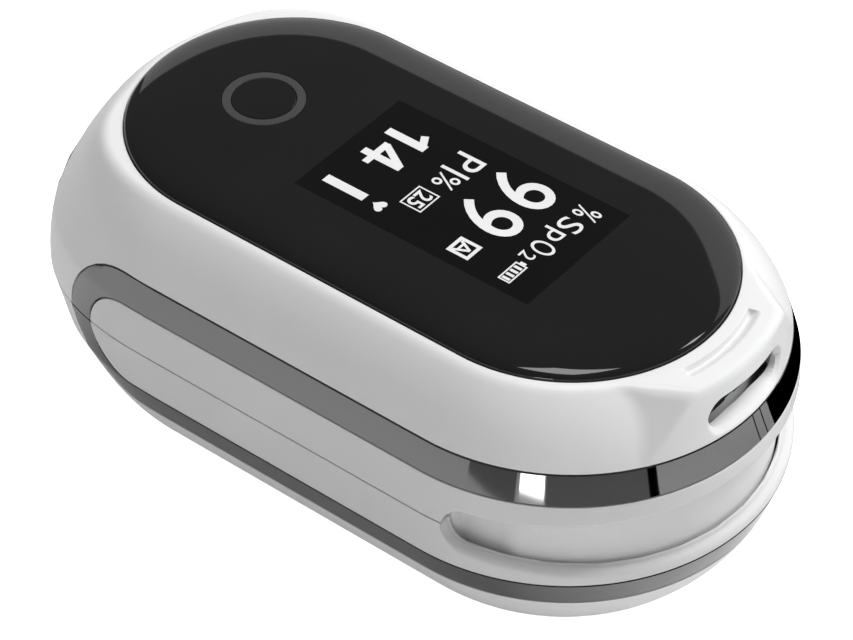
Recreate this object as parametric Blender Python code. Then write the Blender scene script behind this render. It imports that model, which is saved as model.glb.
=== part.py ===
"""Fingertip pulse oximeter, a two-half clamshell on a sprung cross shaft.

The body is one stadium outline offset in and out: +Y is the end that is squeezed, -Y the end where
the finger goes in, +Z is up. Sizes are in millimetres until they are placed, and MM turns them into
metres. The origin is under the middle of the body, on the surface that it stands on.
"""

import math

import bmesh
import bpy
from mathutils import Matrix, Vector

MM = 0.001

# Overall body
HALF_WIDTH = 18.0
SPINE_LENGTH = 26.9
HEIGHT = 30.0
SEAM_Z = 17.2
REAR_SWELL = 1.38
SWELL_Z = 17.8
SWELL_REACH = 9.0
WALL = 1.3
GAP = 0.3

# Chrome bands, measured from the seam
BAND_NEAR = 4.1
BAND_FAR = 6.65
BAND_WALL = 1.1
INSET_NEAR = 0.18
INSET_FAR = 0.95
BEND_Y = -14.6
COVER_SLOPE = math.radians(20.5)

# Underside
BASE_ARC = 13.8
BASE_ARC_END = math.radians(45)
BASE_HALF = 8.8
BASE_EDGE = 0.4

# Front panel, display and key
PANEL_HALF = 12.85
PANEL_DROP = 0.85
PANEL_THICK = 1.7
SHELF_WIDTH = 1.8
SHELF_THICK = 0.9
DISPLAY_Y = 4.13
DISPLAY_WIDTH = 12.7
DISPLAY_LENGTH = 22.1
KEY_Y = -15.35
KEY_R = 3.31
KEY_DISC_R = 2.27
KEY_TRAVEL = 0.3

# Squeeze end
PIVOT_Y = 15.8
SHAFT_R = 1.0
SHAFT_CLEARANCE = 0.1
EYE_R = 2.4
EAR_INNER = 10.2
EAR_THICK = 1.6
POST_THICK = 2.0
WEDGE_Y = 18.15
WEDGE_R = 1.95
WEDGE_DROP = 0.25
WEDGE_TOP = 2.4
WEDGE_BOTTOM = 3.3
SKIRT_WALL = 1.2
LIP_WALL = 1.15
SKIRT_FOOT = 4.0
DECK_FRONT_R = 13.4
LEDGE_SETBACK = 1.5
LEDGE_HALF_ANGLE = math.radians(20)
LEDGE_FOOT_ANGLE = math.radians(36)
SLOT_Z = 25.6
SLOT_LENGTH = 8.8
SLOT_HEIGHT = 2.4
SLOT_DEPTH = 2.6
GROOVE_SETBACK = 2.0
GROOVE_WIDTH = 0.75
GROOVE_DEPTH = 0.4
GROOVE_HALF_ANGLE = math.radians(15)

# Decks and finger chamber
DECK_THICK = 0.8
INNER_WALL_R = 14.9
WEB_THICK = 1.4
PAD_HALF = 10.7
PAD_END_Y = 8.0
PAD_STOP = 2.0
PAD_RIM = 1.7
PAD_FLOOR = 1.2
PAD_SEAM_GAP = 0.3
SENSOR_Y = -7.5
SENSOR_WIDTH = 4.8
SENSOR_LENGTH = 5.8

# Cells
CELL_R = 5.25
CELL_LENGTH = 44.5
NUB_R = 1.9
NUB_LENGTH = 1.0
CELL_Z = 7.9
PLATE_THICK = 0.4
PLATE_SIZE = 5.4
WIRE_R = 0.3
SPRING_LENGTH = 1.8

# Boards
BOARD_R = 10.6
BOARD_THICK = 1.0
BOARD_Z = 25.5
MODULE_THICK = 1.3
MODULE_MARGIN = 0.9
FLEX_HALF = 2.4
FLEX_THICK = 0.2
FLEX_BEND = 1.2

# Battery door and screws
DOOR_HALF = 8.0
DOOR_FRONT_Y = 18.0
DOOR_THICK = 1.3
SCREW_R = 0.65
SCREW_HEAD_R = 1.1
SCREW_HEAD = 0.7
SCREW_X = 12.35
UPPER_SCREW_Y = (-8.0, 9.5)
LOWER_SCREW_Y = (-9.0, 7.0)
BOSS_R = 1.35

# Outline steps
ARC_STEPS = 16
SIDE_STEPS = 3

# Places worked out from the sizes above
SPINE_MID = REAR_SWELL / 2
FRONT_Y = SPINE_MID + SPINE_LENGTH / 2
REAR_Y = SPINE_MID - SPINE_LENGTH / 2
RIM_Z = HEIGHT - PANEL_DROP
PANEL_FOOT = HEIGHT - PANEL_THICK
SHELF_Z = PANEL_FOOT - GAP
UPPER_DECK_Z = BOARD_Z - 1.9
LOWER_DECK_Z = max(CELL_Z + CELL_R + GAP, SEAM_Z - BAND_NEAR + GAP)
FLEX_Y = PAD_END_Y + 1.8 + FLEX_BEND
SKIRT_R = HALF_WIDTH - LIP_WALL - 0.35
LEDGE_R = HALF_WIDTH - LEDGE_SETBACK
GROOVE_R = LEDGE_R - GROOVE_SETBACK
POST_INNER = EAR_INNER + EAR_THICK + GAP
SHAFT_REACH = POST_INNER + POST_THICK + 0.2
FAR = 60.0


def material(name, colour, roughness, metallic=0.0):
    made = bpy.data.materials.new(name)
    made.use_nodes = True
    shader = made.node_tree.nodes["Principled BSDF"]
    shader.inputs["Base Color"].default_value = (*colour, 1)
    shader.inputs["Roughness"].default_value = roughness
    shader.inputs["Metallic"].default_value = metallic
    made.diffuse_color = (*colour, 1)
    return made


def start():
    """An empty scene with one collection for the parts and one for the cutters."""
    for old in list(bpy.data.objects):
        bpy.data.objects.remove(old, do_unlink=True)
    parts = bpy.data.collections.new("pulse_oximeter")
    tools = bpy.data.collections.new("cutters")
    for made in (parts, tools):
        bpy.context.scene.collection.children.link(made)
    return parts, tools


PARTS, CUTTERS = start()
WHITE = material("white_shell", (0.82, 0.82, 0.82), 0.35)
GREY = material("grey_inner_shell", (0.62, 0.62, 0.62), 0.45)
CHROME = material("chrome", (0.55, 0.56, 0.57), 0.08, 1.0)
BLACK = material("black_gloss", (0.012, 0.012, 0.013), 0.06)
SCREEN = material("screen", (0.005, 0.005, 0.006), 0.1)
RING = material("ring_print", (0.06, 0.06, 0.065), 0.3)
SILICONE = material("silicone", (0.09, 0.095, 0.1), 0.6)
BOARD = material("circuit_board", (0.02, 0.13, 0.05), 0.5)
CHIP = material("chip", (0.02, 0.02, 0.02), 0.5)
STEEL = material("steel", (0.6, 0.6, 0.62), 0.25, 1.0)
CLEAR = material("red_window", (0.35, 0.02, 0.02), 0.1)
CELL = material("cell_sleeve", (0.08, 0.22, 0.4), 0.35)
FLEX = material("flex", (0.45, 0.22, 0.05), 0.4)


def add(name, mesh, finish=None):
    """An object in the parts collection, or a hidden cutter when it has no finish."""
    obj = bpy.data.objects.new(name, mesh)
    if finish:
        mesh.materials.append(finish)
        PARTS.objects.link(obj)
        mesh.shade_smooth()
        mesh.set_sharp_from_angle(angle=math.radians(35))
    else:
        CUTTERS.objects.link(obj)
        obj.hide_render = True
        obj.display_type = "WIRE"
    return obj


def from_bmesh(name, made, finish=None):
    bmesh.ops.recalc_face_normals(made, faces=made.faces)
    made.transform(Matrix.Scale(MM, 4))
    mesh = bpy.data.meshes.new(name)
    made.to_mesh(mesh)
    made.free()
    return add(name, mesh, finish)


def boolean(obj, tool, operation):
    modifier = obj.modifiers.new(operation.lower(), "BOOLEAN")
    modifier.operation = operation
    modifier.solver = "EXACT"
    modifier.object = tool
    return obj


def cut(obj, *tools):
    for tool in tools:
        boolean(obj, tool, "DIFFERENCE")
    return obj


def join(obj, *tools):
    for tool in tools:
        boolean(obj, tool, "UNION")
    return obj


def keep(obj, *tools):
    for tool in tools:
        boolean(obj, tool, "INTERSECT")
    return obj


def by_manifold(obj):
    """Switches a chain of Booleans to the solver that keeps walls with shared corners closed."""
    for modifier in obj.modifiers:
        modifier.solver = "MANIFOLD"
    return obj


def stations():
    """Points of the stadium spine with the outward direction at each, all the way round."""
    found = []
    for centre_y, first in ((FRONT_Y, 0.0), (REAR_Y, math.pi)):
        for step in range(ARC_STEPS + 1):
            angle = first + math.pi * step / ARC_STEPS
            found.append((centre_y, math.cos(angle), math.sin(angle)))
        side = -1 if first == 0.0 else 1
        other_y = REAR_Y if first == 0.0 else FRONT_Y
        for step in range(1, SIDE_STEPS):
            y = centre_y + (other_y - centre_y) * step / SIDE_STEPS
            found.append((y, side, 0.0))
    return found


def swell(across, along, z):
    """How far the finger end stands out from the plain stadium at this height."""
    turn = math.degrees(math.atan2(abs(across), along))
    round_share = min(max((turn - 90) / 45, 0), 1)
    round_share = round_share * round_share * (3 - 2 * round_share)
    height_share = min(abs(z - SWELL_Z) / SWELL_REACH, 1)
    return REAR_SWELL * round_share * math.cos(math.pi / 2 * height_share) ** 2


def loft(name, profile, finish=None, ring=False, swells=True):
    """A profile of (offset, height) points carried round the stadium.

    The finger end swells, so the sections aren't alike and the faces are bridged one by one. A ring
    joins its last point to its first; any other profile is closed by a flat face at each end.
    """
    made = bmesh.new()
    loops = []
    for offset, z in profile:
        loop = []
        for spine_y, across, along in stations():
            out = offset + (swell(across, along, z) if swells else 0)
            loop.append(made.verts.new((across * out, spine_y + along * out, z)))
        loops.append(loop)
    pairs = list(zip(loops, loops[1:]))
    if ring:
        pairs.append((loops[-1], loops[0]))
    for lower, upper in pairs:
        for i in range(len(lower)):
            j = (i + 1) % len(lower)
            made.faces.new((lower[i], lower[j], upper[j], upper[i]))
    if not ring:
        made.faces.new(loops[0])
        made.faces.new(loops[-1])
    return from_bmesh(name, made, finish)


def slab(name, offset, low, high, finish=None, swells=False):
    return loft(name, [(offset, low), (offset, high)], finish, swells=swells)


def block(name, low, high, finish=None):
    made = bmesh.new()
    bmesh.ops.create_cube(made, size=1)
    size = Vector(high) - Vector(low)
    middle = (Vector(high) + Vector(low)) / 2
    made.transform(Matrix.Translation(middle) @ Matrix.Diagonal((*size, 1)))
    return from_bmesh(name, made, finish)


def rod(name, start, end, radius, finish=None, segments=24, end_radius=None):
    """A round bar from start to end, or a cone when its end radius differs."""
    run = Vector(end) - Vector(start)
    made = bmesh.new()
    bmesh.ops.create_cone(
        made,
        cap_ends=True,
        segments=segments,
        radius1=radius,
        radius2=radius if end_radius is None else end_radius,
        depth=run.length,
    )
    turn = Vector((0, 0, 1)).rotation_difference(run).to_matrix().to_4x4()
    made.transform(Matrix.Translation(Vector(start) + run / 2) @ turn)
    return from_bmesh(name, made, finish)


def prism(name, outline, axis, low, high, finish=None):
    """An outline of (first, second) points extruded along X or Y."""
    made = bmesh.new()
    sides = []
    for reach in (low, high):
        if axis == "X":
            corners = [(reach, a, b) for a, b in outline]
        else:
            corners = [(a, reach, b) for a, b in outline]
        sides.append([made.verts.new(corner) for corner in corners])
    made.faces.new(sides[0])
    made.faces.new(sides[1])
    for i in range(len(outline)):
        j = (i + 1) % len(outline)
        made.faces.new((sides[0][i], sides[0][j], sides[1][j], sides[1][i]))
    return from_bmesh(name, made, finish)


def arc(centre, radius, first, last, steps):
    """Points of an arc in its own plane, from one angle in degrees to another."""
    found = []
    for step in range(steps + 1):
        angle = math.radians(first + (last - first) * step / steps)
        found.append((centre[0] + radius * math.cos(angle), centre[1] + radius * math.sin(angle)))
    return found


def wire(name, points, radius, finish):
    """A round wire through the points, as one mesh with welded caps."""
    curve = bpy.data.curves.new(name, "CURVE")
    curve.dimensions = "3D"
    curve.bevel_depth = radius * MM
    curve.bevel_resolution = 2
    curve.use_fill_caps = True
    spline = curve.splines.new("POLY")
    spline.points.add(len(points) - 1)
    for point, place in zip(spline.points, points):
        point.co = (*(Vector(place) * MM), 1)
    guide = bpy.data.objects.new(name + "_guide", curve)
    CUTTERS.objects.link(guide)
    graph = bpy.context.evaluated_depsgraph_get()
    mesh = bpy.data.meshes.new_from_object(guide.evaluated_get(graph))
    bpy.data.objects.remove(guide, do_unlink=True)
    made = bmesh.new()
    made.from_mesh(mesh)
    bmesh.ops.remove_doubles(made, verts=made.verts, dist=1e-6)
    made.transform(Matrix.Scale(1 / MM, 4))
    return from_bmesh(name, made, finish)


# Outer surfaces


def cover_arc():
    """Centre and radius of the top cover's flank, which leaves the band at its own slope."""
    foot = Vector((HALF_WIDTH - INSET_FAR, SEAM_Z + BAND_FAR))
    rim = Vector((PANEL_HALF + 0.1, RIM_Z + 0.1))
    inward = Vector((-math.cos(COVER_SLOPE), -math.sin(COVER_SLOPE)))
    run = rim - foot
    radius = run.length_squared / (2 * run.dot(inward))
    return foot + inward * radius, radius


def upper_outline(inset=0.0, foot=SEAM_Z, top=RIM_Z):
    """The upper half's outer surface from the seam up, moved in by the inset."""
    centre, radius = cover_arc()
    radius -= inset
    found = [
        (HALF_WIDTH - inset, foot),
        (HALF_WIDTH - INSET_NEAR - inset, SEAM_Z + BAND_NEAR),
    ]
    last = math.degrees(math.asin((top - centre.y) / radius))
    found += arc(centre, radius, math.degrees(COVER_SLOPE), last, 7)
    return found


def lower_outline(inset=0.0, top=SEAM_Z):
    """The lower half's outer surface from the base up, moved in by the inset."""
    centre = Vector((HALF_WIDTH - INSET_FAR, SEAM_Z - BAND_FAR))
    centre += BASE_ARC * Vector((-math.cos(COVER_SLOPE), math.sin(COVER_SLOPE)))
    flank = arc(
        centre,
        BASE_ARC - inset,
        -math.degrees(BASE_ARC_END),
        -math.degrees(COVER_SLOPE),
        6,
    )
    return [
        (BASE_HALF - 1.1 - inset, inset),
        (BASE_HALF - inset, BASE_EDGE + inset),
        *flank,
        (HALF_WIDTH - INSET_NEAR - inset, SEAM_Z - BAND_NEAR),
        (HALF_WIDTH - inset, top),
    ]


def bend(radius):
    """A side outline, open towards the squeeze end, with a round end at the bend of the bands."""
    round_end = arc((BEND_Y, SEAM_Z), radius, 90, 270, 20)
    return [(FAR, SEAM_Z + radius), *round_end, (FAR, SEAM_Z - radius)]


def side_tool(name, radius):
    return prism(name, bend(radius), "X", -FAR, FAR)


def wedge_tool(name):
    """The gap that closes when the halves are squeezed: a round end that widens to the front."""
    round_end = arc((WEDGE_Y, SEAM_Z - WEDGE_DROP), WEDGE_R, 90, 270, 12)
    front = FRONT_Y + HALF_WIDTH + 1
    outline = [(front, SEAM_Z + WEDGE_TOP), *round_end, (front, SEAM_Z - WEDGE_BOTTOM)]
    return prism(name, outline, "X", -FAR, FAR)


def frame_limit(name):
    """Where a frame may stand: all of it inside the bands' bend, and only its core behind that."""
    round_end = arc((BEND_Y, SEAM_Z), BAND_NEAR - GAP / 2 + 0.02, 90, 270, 20)
    outline = [(FAR, FAR), (BEND_Y, FAR), *round_end, (BEND_Y, -FAR), (FAR, -FAR)]
    limit = prism(name, outline, "X", -FAR, FAR)
    return join(limit, slab(name + "_core", INNER_WALL_R + 0.6, -1, HEIGHT + 5))


def chamber_outline(ease):
    """Where the pads pass through the finger end, as seen along the finger."""
    half = PAD_HALF + ease
    low = LOWER_DECK_Z + DECK_THICK + GAP - ease
    high = UPPER_DECK_Z - GAP + ease
    corner = 0.4
    found = []
    for centre, first in (
        ((half - corner, high - corner), 0),
        ((corner - half, high - corner), 90),
        ((corner - half, low + corner), 180),
        ((half - corner, low + corner), 270),
    ):
        found += arc(centre, corner, first, first + 90, 2)
    return found


def front_only(name, from_y):
    return block(name, (-FAR, from_y, -FAR), (FAR, FAR, FAR))


# Shared cutters

OUTER_BEND = side_tool("outer_bend", BAND_FAR + GAP / 2)
BAND_OUTSIDE = side_tool("band_outside", BAND_FAR - GAP / 2)
BAND_INSIDE = side_tool("band_inside", BAND_NEAR + GAP / 2)
WEDGE = wedge_tool("wedge")
MOUTH = prism("mouth", chamber_outline(GAP), "Y", -FAR, PAD_END_Y)
BODY = loft("body_limit", [*lower_outline()[:-1], *upper_outline()])


def ledge_block():
    """The flat ledge in front of the panel: a frustum that widens down to the band."""
    made = bmesh.new()
    foot_z = SEAM_Z + BAND_FAR
    for radius, z, half_angle in (
        (HALF_WIDTH - INSET_FAR, foot_z, LEDGE_FOOT_ANGLE),
        (LEDGE_R, RIM_Z - 0.3, LEDGE_HALF_ANGLE),
        (LEDGE_R - 0.35, RIM_Z - 0.05, LEDGE_HALF_ANGLE * 0.95),
    ):
        for step in range(7):
            angle = half_angle * (step / 3 - 1)
            made.verts.new((radius * math.sin(angle), FRONT_Y + radius * math.cos(angle), z))
    for side in (-1, 1):
        made.verts.new((side * (PANEL_HALF - 4.85), FRONT_Y + PANEL_HALF - 3.35, RIM_Z - 0.05))
        made.verts.new((side * (PANEL_HALF - 2.85), FRONT_Y + PANEL_HALF - 3.35, foot_z))
    bmesh.ops.convex_hull(made, input=made.verts)
    return from_bmesh("ledge_block", made)


def slot_tool():
    """The lanyard slot: a flat oval pushed in through the front of the ledge."""
    half = SLOT_LENGTH / 2 - SLOT_HEIGHT / 2
    outline = arc((half, SLOT_Z), SLOT_HEIGHT / 2, -90, 90, 8)
    outline += arc((-half, SLOT_Z), SLOT_HEIGHT / 2, 90, 270, 8)
    front = FRONT_Y + LEDGE_R
    return prism("slot_cut", outline, "Y", front - SLOT_DEPTH, front + 3)


def groove_tool():
    """A shallow finger groove along the ledge, level with the panel's edge."""
    made = bmesh.new()
    steps = 10
    rings = []
    for radius in (GROOVE_R - GROOVE_WIDTH / 2, GROOVE_R + GROOVE_WIDTH / 2):
        for z in (RIM_Z - GROOVE_DEPTH, RIM_Z + 1):
            row = []
            for step in range(steps + 1):
                angle = GROOVE_HALF_ANGLE * (2 * step / steps - 1)
                place = (radius * math.sin(angle), FRONT_Y + radius * math.cos(angle), z)
                row.append(made.verts.new(place))
            rings.append(row)
    order = [rings[0], rings[1], rings[3], rings[2]]
    for first, second in zip(order, order[1:] + order[:1]):
        for i in range(steps):
            made.faces.new((first[i], first[i + 1], second[i + 1], second[i]))
    for i in (0, steps):
        made.faces.new([row[i] for row in order])
    return from_bmesh("groove_cut", made)


def screw_places(rows):
    return [(side * SCREW_X, y) for y in rows for side in (-1, 1)]


# Upper half


def top_cover():
    cover = loft("top_cover", upper_outline(0.0, SEAM_Z + GAP / 2), WHITE)
    inner_top = SHELF_Z - SHELF_THICK
    cavity = loft("top_cavity", upper_outline(WALL, SEAM_Z - 2, inner_top))
    seat = slab("panel_seat", PANEL_HALF + GAP, SHELF_Z, FAR)
    well = slab("display_well", PANEL_HALF + GAP - SHELF_WIDTH, SHELF_Z - 3, FAR)
    join(cover, ledge_block())
    cut(cover, cavity, seat, well, OUTER_BEND, MOUTH, slot_tool(), groove_tool())
    for number, (x, y) in enumerate(screw_places(UPPER_SCREW_Y)):
        foot = UPPER_DECK_Z + DECK_THICK + GAP
        boss = rod(f"cover_boss_{number}", (x, y, foot), (x, y, SHELF_Z - 0.4), BOSS_R, segments=16)
        hole = rod(f"cover_pilot_{number}", (x, y, foot - 1), (x, y, foot + 1.8), SCREW_R + 0.2, segments=12)
        join(cover, boss)
        cut(cover, hole)
    return by_manifold(cover)


def band(name, outline, low, high):
    """Half of the chrome trim: a thin shell kept between the two side outlines."""
    outer = [point for point in outline(0.0)]
    inner = [point for point in outline(BAND_WALL)]
    shell = loft(name, outer + inner[::-1], CHROME, ring=True)
    slice_tool = block(name + "_slice", (-FAR, -FAR, low), (FAR, FAR, high))
    return cut(keep(shell, slice_tool, BAND_OUTSIDE), BAND_INSIDE)


def upper_band():
    def outline(inset):
        near = (HALF_WIDTH - INSET_NEAR - inset, SEAM_Z + BAND_NEAR)
        far = (HALF_WIDTH - INSET_FAR - inset, SEAM_Z + BAND_FAR)
        return [(HALF_WIDTH - inset, SEAM_Z + GAP / 2), near, far]

    return band("upper_band", outline, SEAM_Z + GAP / 2 - 0.01, SEAM_Z + BAND_FAR)


def lower_band():
    def outline(inset):
        near = (HALF_WIDTH - INSET_NEAR - inset, SEAM_Z - BAND_NEAR)
        far = (HALF_WIDTH - INSET_FAR - inset, SEAM_Z - BAND_FAR)
        return [far, near, (HALF_WIDTH - inset, SEAM_Z - GAP / 2)]

    return band("lower_band", outline, SEAM_Z - BAND_FAR, SEAM_Z - GAP / 2 + 0.01)


def eye_plate(name, x_low, x_high, reach_z, toward):
    """A hinge ear or post: a plate with a round eye on the pivot, reaching up or down."""
    first = 180 if toward > 0 else 0
    eye = arc((PIVOT_Y, SEAM_Z), EYE_R, first, first + 180, 12)
    outline = eye + [(PIVOT_Y + toward * EYE_R, reach_z), (PIVOT_Y - toward * EYE_R, reach_z)]
    return prism(name, outline, "X", x_low, x_high)


def across_pivot(name, reach, radius, finish=None):
    """A round bar along the pivot, as long on one side as on the other."""
    return rod(name, (-reach, PIVOT_Y, SEAM_Z), (reach, PIVOT_Y, SEAM_Z), radius, finish)


def shaft_bore(name):
    return across_pivot(name, SHAFT_REACH + GAP, SHAFT_R + SHAFT_CLEARANCE)


def side_pair(name, maker, inner, thick):
    """The same plate on both sides of the body."""
    return [maker(f"{name}_right", inner, inner + thick), maker(f"{name}_left", -inner - thick, -inner)]


def upper_frame():
    web_top = SEAM_Z + BAND_NEAR - GAP / 2
    deck_top = UPPER_DECK_Z + DECK_THICK
    inner = INNER_WALL_R - 1.2
    profile = [
        (inner, UPPER_DECK_Z),
        (inner, web_top - WEB_THICK),
        (HALF_WIDTH - WALL, web_top - WEB_THICK),
        (HALF_WIDTH - WALL, SEAM_Z + GAP / 2),
        (HALF_WIDTH, SEAM_Z + GAP / 2),
        (HALF_WIDTH - INSET_NEAR, web_top),
        (INNER_WALL_R, web_top),
        (INNER_WALL_R, deck_top),
    ]
    frame = loft("upper_frame", profile, GREY)
    cut(frame, WEDGE)
    keep(frame, frame_limit("upper_frame_limit"))
    foot = SEAM_Z - SKIRT_FOOT
    skirt = loft(
        "upper_skirt",
        [
            (SKIRT_R - SKIRT_WALL, foot),
            (SKIRT_R - SKIRT_WALL, web_top - 0.4),
            (SKIRT_R, web_top - 0.4),
            (SKIRT_R, foot),
        ],
        ring=True,
    )
    cut(skirt, block("skirt_limit", (-FAR, -FAR, 0), (FAR, WEDGE_Y - WEDGE_R, FAR)))
    ears = side_pair(
        "ear", lambda n, a, b: eye_plate(n, a, b, UPPER_DECK_Z + 0.4, 1), EAR_INNER, EAR_THICK
    )
    join(frame, skirt, *ears)
    sensor_slot = block(
        "emitter_slot",
        (-4.5, SENSOR_Y - 5.5, UPPER_DECK_Z - 1),
        (4.5, SENSOR_Y + 5.5, deck_top + 1),
    )
    flex_slot = block("flex_slot", (-3.2, 9.6, UPPER_DECK_Z - 1), (3.2, 12.6, deck_top + 1))
    cut(frame, shaft_bore("upper_bore"), MOUTH, sensor_slot, flex_slot)
    for number, (x, y) in enumerate(screw_places(UPPER_SCREW_Y)):
        low = UPPER_DECK_Z - 0.5
        cut(frame, rod(f"deck_hole_{number}", (x, y, low), (x, y, low + 2), SCREW_R + GAP, segments=12))
    return by_manifold(frame)


def front_panel():
    low = PANEL_FOOT
    profile = [
        (PANEL_HALF, low),
        (PANEL_HALF, RIM_Z),
        (PANEL_HALF - 0.25, RIM_Z + 0.30),
        (PANEL_HALF - 0.75, RIM_Z + 0.56),
        (PANEL_HALF - 1.7, RIM_Z + 0.73),
        (PANEL_HALF - 3.4, HEIGHT - 0.03),
        (PANEL_HALF - 6.4, HEIGHT),
    ]
    panel = loft("front_panel", profile, BLACK, swells=False)
    half = Vector((DISPLAY_WIDTH / 2, DISPLAY_LENGTH / 2))
    window = block(
        "window_cut",
        (-half.x, DISPLAY_Y - half.y, low - 1),
        (half.x, DISPLAY_Y + half.y, HEIGHT + 1),
    )
    hole = rod("key_hole", (0, KEY_Y, low - 1), (0, KEY_Y, HEIGHT + 1), KEY_R + GAP, segments=32)
    return cut(panel, window, hole)


def display():
    half = Vector((DISPLAY_WIDTH / 2 - GAP, DISPLAY_LENGTH / 2 - GAP))
    block(
        "display_window",
        (-half.x, DISPLAY_Y - half.y, PANEL_FOOT + GAP),
        (half.x, DISPLAY_Y + half.y, HEIGHT - 0.03),
        SCREEN,
    )
    wide = Vector((half.x + MODULE_MARGIN, half.y + MODULE_MARGIN))
    board_top = BOARD_Z + BOARD_THICK
    block(
        "display_module",
        (-wide.x, DISPLAY_Y - wide.y, board_top + GAP),
        (wide.x, DISPLAY_Y + wide.y, board_top + GAP + MODULE_THICK),
        CHIP,
    )


def power_key():
    flange_low = PANEL_FOOT + GAP
    flange_high = flange_low + 0.4
    stem_foot = BOARD_Z + BOARD_THICK + GAP + 1.15 + KEY_TRAVEL + 0.05
    button = rod("power_button", (0, KEY_Y, flange_low), (0, KEY_Y, HEIGHT - 0.02), KEY_DISC_R, BLACK, 32)
    flange = rod("key_flange", (0, KEY_Y, flange_low), (0, KEY_Y, flange_high), KEY_R, segments=32)
    stem = rod("key_stem", (0, KEY_Y, stem_foot), (0, KEY_Y, flange_low + 0.1), 1.1, segments=16)
    join(button, flange, stem)
    ring = rod(
        "button_ring", (0, KEY_Y, flange_high + GAP), (0, KEY_Y, HEIGHT - 0.01), KEY_R, RING, 32
    )
    cut(ring, rod("ring_bore", (0, KEY_Y, 0), (0, KEY_Y, FAR), KEY_DISC_R + GAP, segments=32))


def boards():
    top = BOARD_Z + BOARD_THICK
    slab("main_board", BOARD_R, BOARD_Z, top, BOARD)
    block("tact_switch", (-2.3, KEY_Y - 2.3, top + GAP), (2.3, KEY_Y + 2.3, top + GAP + 0.8), CHIP)
    plunger = rod(
        "switch_plunger",
        (0, KEY_Y, top + GAP + 0.4),
        (0, KEY_Y, top + GAP + 1.15),
        0.9,
        segments=12,
    )
    join(bpy.data.objects["tact_switch"], plunger)
    chip_y = FRONT_Y + 5.8
    block("processor_chip", (-3.0, chip_y - 2.5, top + GAP), (3.0, chip_y + 2.5, top + GAP + 0.9), CHIP)
    block(
        "emitter_board",
        (-4.0, SENSOR_Y - 5.0, UPPER_DECK_Z + 0.4),
        (4.0, SENSOR_Y + 5.0, UPPER_DECK_Z + 1.0),
        BOARD,
    )
    led_top = UPPER_DECK_Z + 0.1
    block("emitter_leds", (-1.4, SENSOR_Y - 1.4, led_top - 0.5), (1.4, SENSOR_Y + 1.4, led_top), CHIP)


def screws(name, rows, head_z, toward):
    """Small pan-head screws in two rows, their shanks pointing up or down."""
    for number, (x, y) in enumerate(screw_places(rows)):
        shank_end = head_z + toward * (SCREW_HEAD + 3.2)
        screw = rod(
            f"{name}_screw_{number + 1}",
            (x, y, head_z),
            (x, y, head_z + toward * SCREW_HEAD),
            SCREW_HEAD_R,
            STEEL,
            16,
        )
        shank_start = head_z + toward * 0.2
        shank = rod(f"{name}_shank_{number}", (x, y, shank_start), (x, y, shank_end), SCREW_R, segments=12)
        slot = block(
            f"{name}_drive_{number}",
            (x - 0.75, y - 0.15, head_z - 0.25),
            (x + 0.75, y + 0.15, head_z + 0.25),
        )
        join(screw, shank)
        cut(screw, slot)


# Pads


def pad(name, back_z, rim_z, floor_z, steps=12):
    """A soft liner: flat on its back, hollowed along the finger, closed by a stop at its inner end."""
    half = PAD_HALF - PAD_RIM
    hollow = []
    for step in range(steps + 1):
        share = math.pi * step / steps
        hollow.append((half * math.cos(share), rim_z + (floor_z - rim_z) * math.sin(share) ** 0.8))
    rear = REAR_Y - HALF_WIDTH - REAR_SWELL
    outline = [(PAD_HALF, back_z), (PAD_HALF, rim_z), *hollow, (-PAD_HALF, rim_z), (-PAD_HALF, back_z)]
    liner = prism(name, outline, "Y", rear, PAD_END_Y - GAP, SILICONE)
    low, high = sorted((back_z, rim_z))
    stop = block(
        name + "_stop",
        (-half - 0.5, PAD_END_Y - GAP - PAD_STOP, low + 0.01),
        (half + 0.5, PAD_END_Y - GAP - 0.01, high - 0.01),
    )
    join(liner, stop)
    hole = block(
        name + "_window_cut",
        (-SENSOR_WIDTH / 2 - GAP, SENSOR_Y - SENSOR_LENGTH / 2 - GAP, low - 2),
        (SENSOR_WIDTH / 2 + GAP, SENSOR_Y + SENSOR_LENGTH / 2 + GAP, high + 2),
    )
    return cut(keep(liner, BODY), hole)


def pads():
    upper_back = UPPER_DECK_Z - GAP
    pad("upper_pad", upper_back, SEAM_Z + PAD_SEAM_GAP, upper_back - PAD_FLOOR)
    lower_back = LOWER_DECK_Z + DECK_THICK + GAP
    pad("lower_pad", lower_back, SEAM_Z - PAD_SEAM_GAP, lower_back + PAD_FLOOR)
    for name, z in (("emitter_window", upper_back - 1.1), ("detector_window", lower_back + 0.5)):
        block(
            name,
            (-SENSOR_WIDTH / 2, SENSOR_Y - SENSOR_LENGTH / 2, z),
            (SENSOR_WIDTH / 2, SENSOR_Y + SENSOR_LENGTH / 2, z + 0.6),
            CLEAR,
        )


# Lower half


def door_box(name, ease):
    low = (-DOOR_HALF - ease, -FAR, -FAR)
    return block(name, low, (DOOR_HALF + ease, DOOR_FRONT_Y + ease, DOOR_THICK + 1.9 + ease))


def bottom_cover():
    cover = loft("bottom_cover", lower_outline(0.0, SEAM_Z - GAP / 2), WHITE)
    cavity = loft("bottom_cavity", lower_outline(WALL, SEAM_Z + 2))
    cut(cover, cavity, OUTER_BEND, MOUTH, door_box("door_opening", GAP))
    for number, (x, y) in enumerate(screw_places(LOWER_SCREW_Y)):
        top = LOWER_DECK_Z - GAP
        boss = rod(f"base_boss_{number}", (x, y, 4.6), (x, y, top), BOSS_R, segments=16)
        pilot = rod(f"base_pilot_{number}", (x, y, top - 3.6), (x, y, top + 1), SCREW_R + 0.2, segments=12)
        join(cover, boss)
        cut(cover, pilot)
    return cover


def battery_door():
    door = loft("battery_door", lower_outline(0.0, SEAM_Z - GAP / 2), WHITE)
    cavity = loft("door_cavity", lower_outline(DOOR_THICK, SEAM_Z + 2))
    return keep(cut(door, cavity), door_box("door_limit", 0.0))


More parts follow.
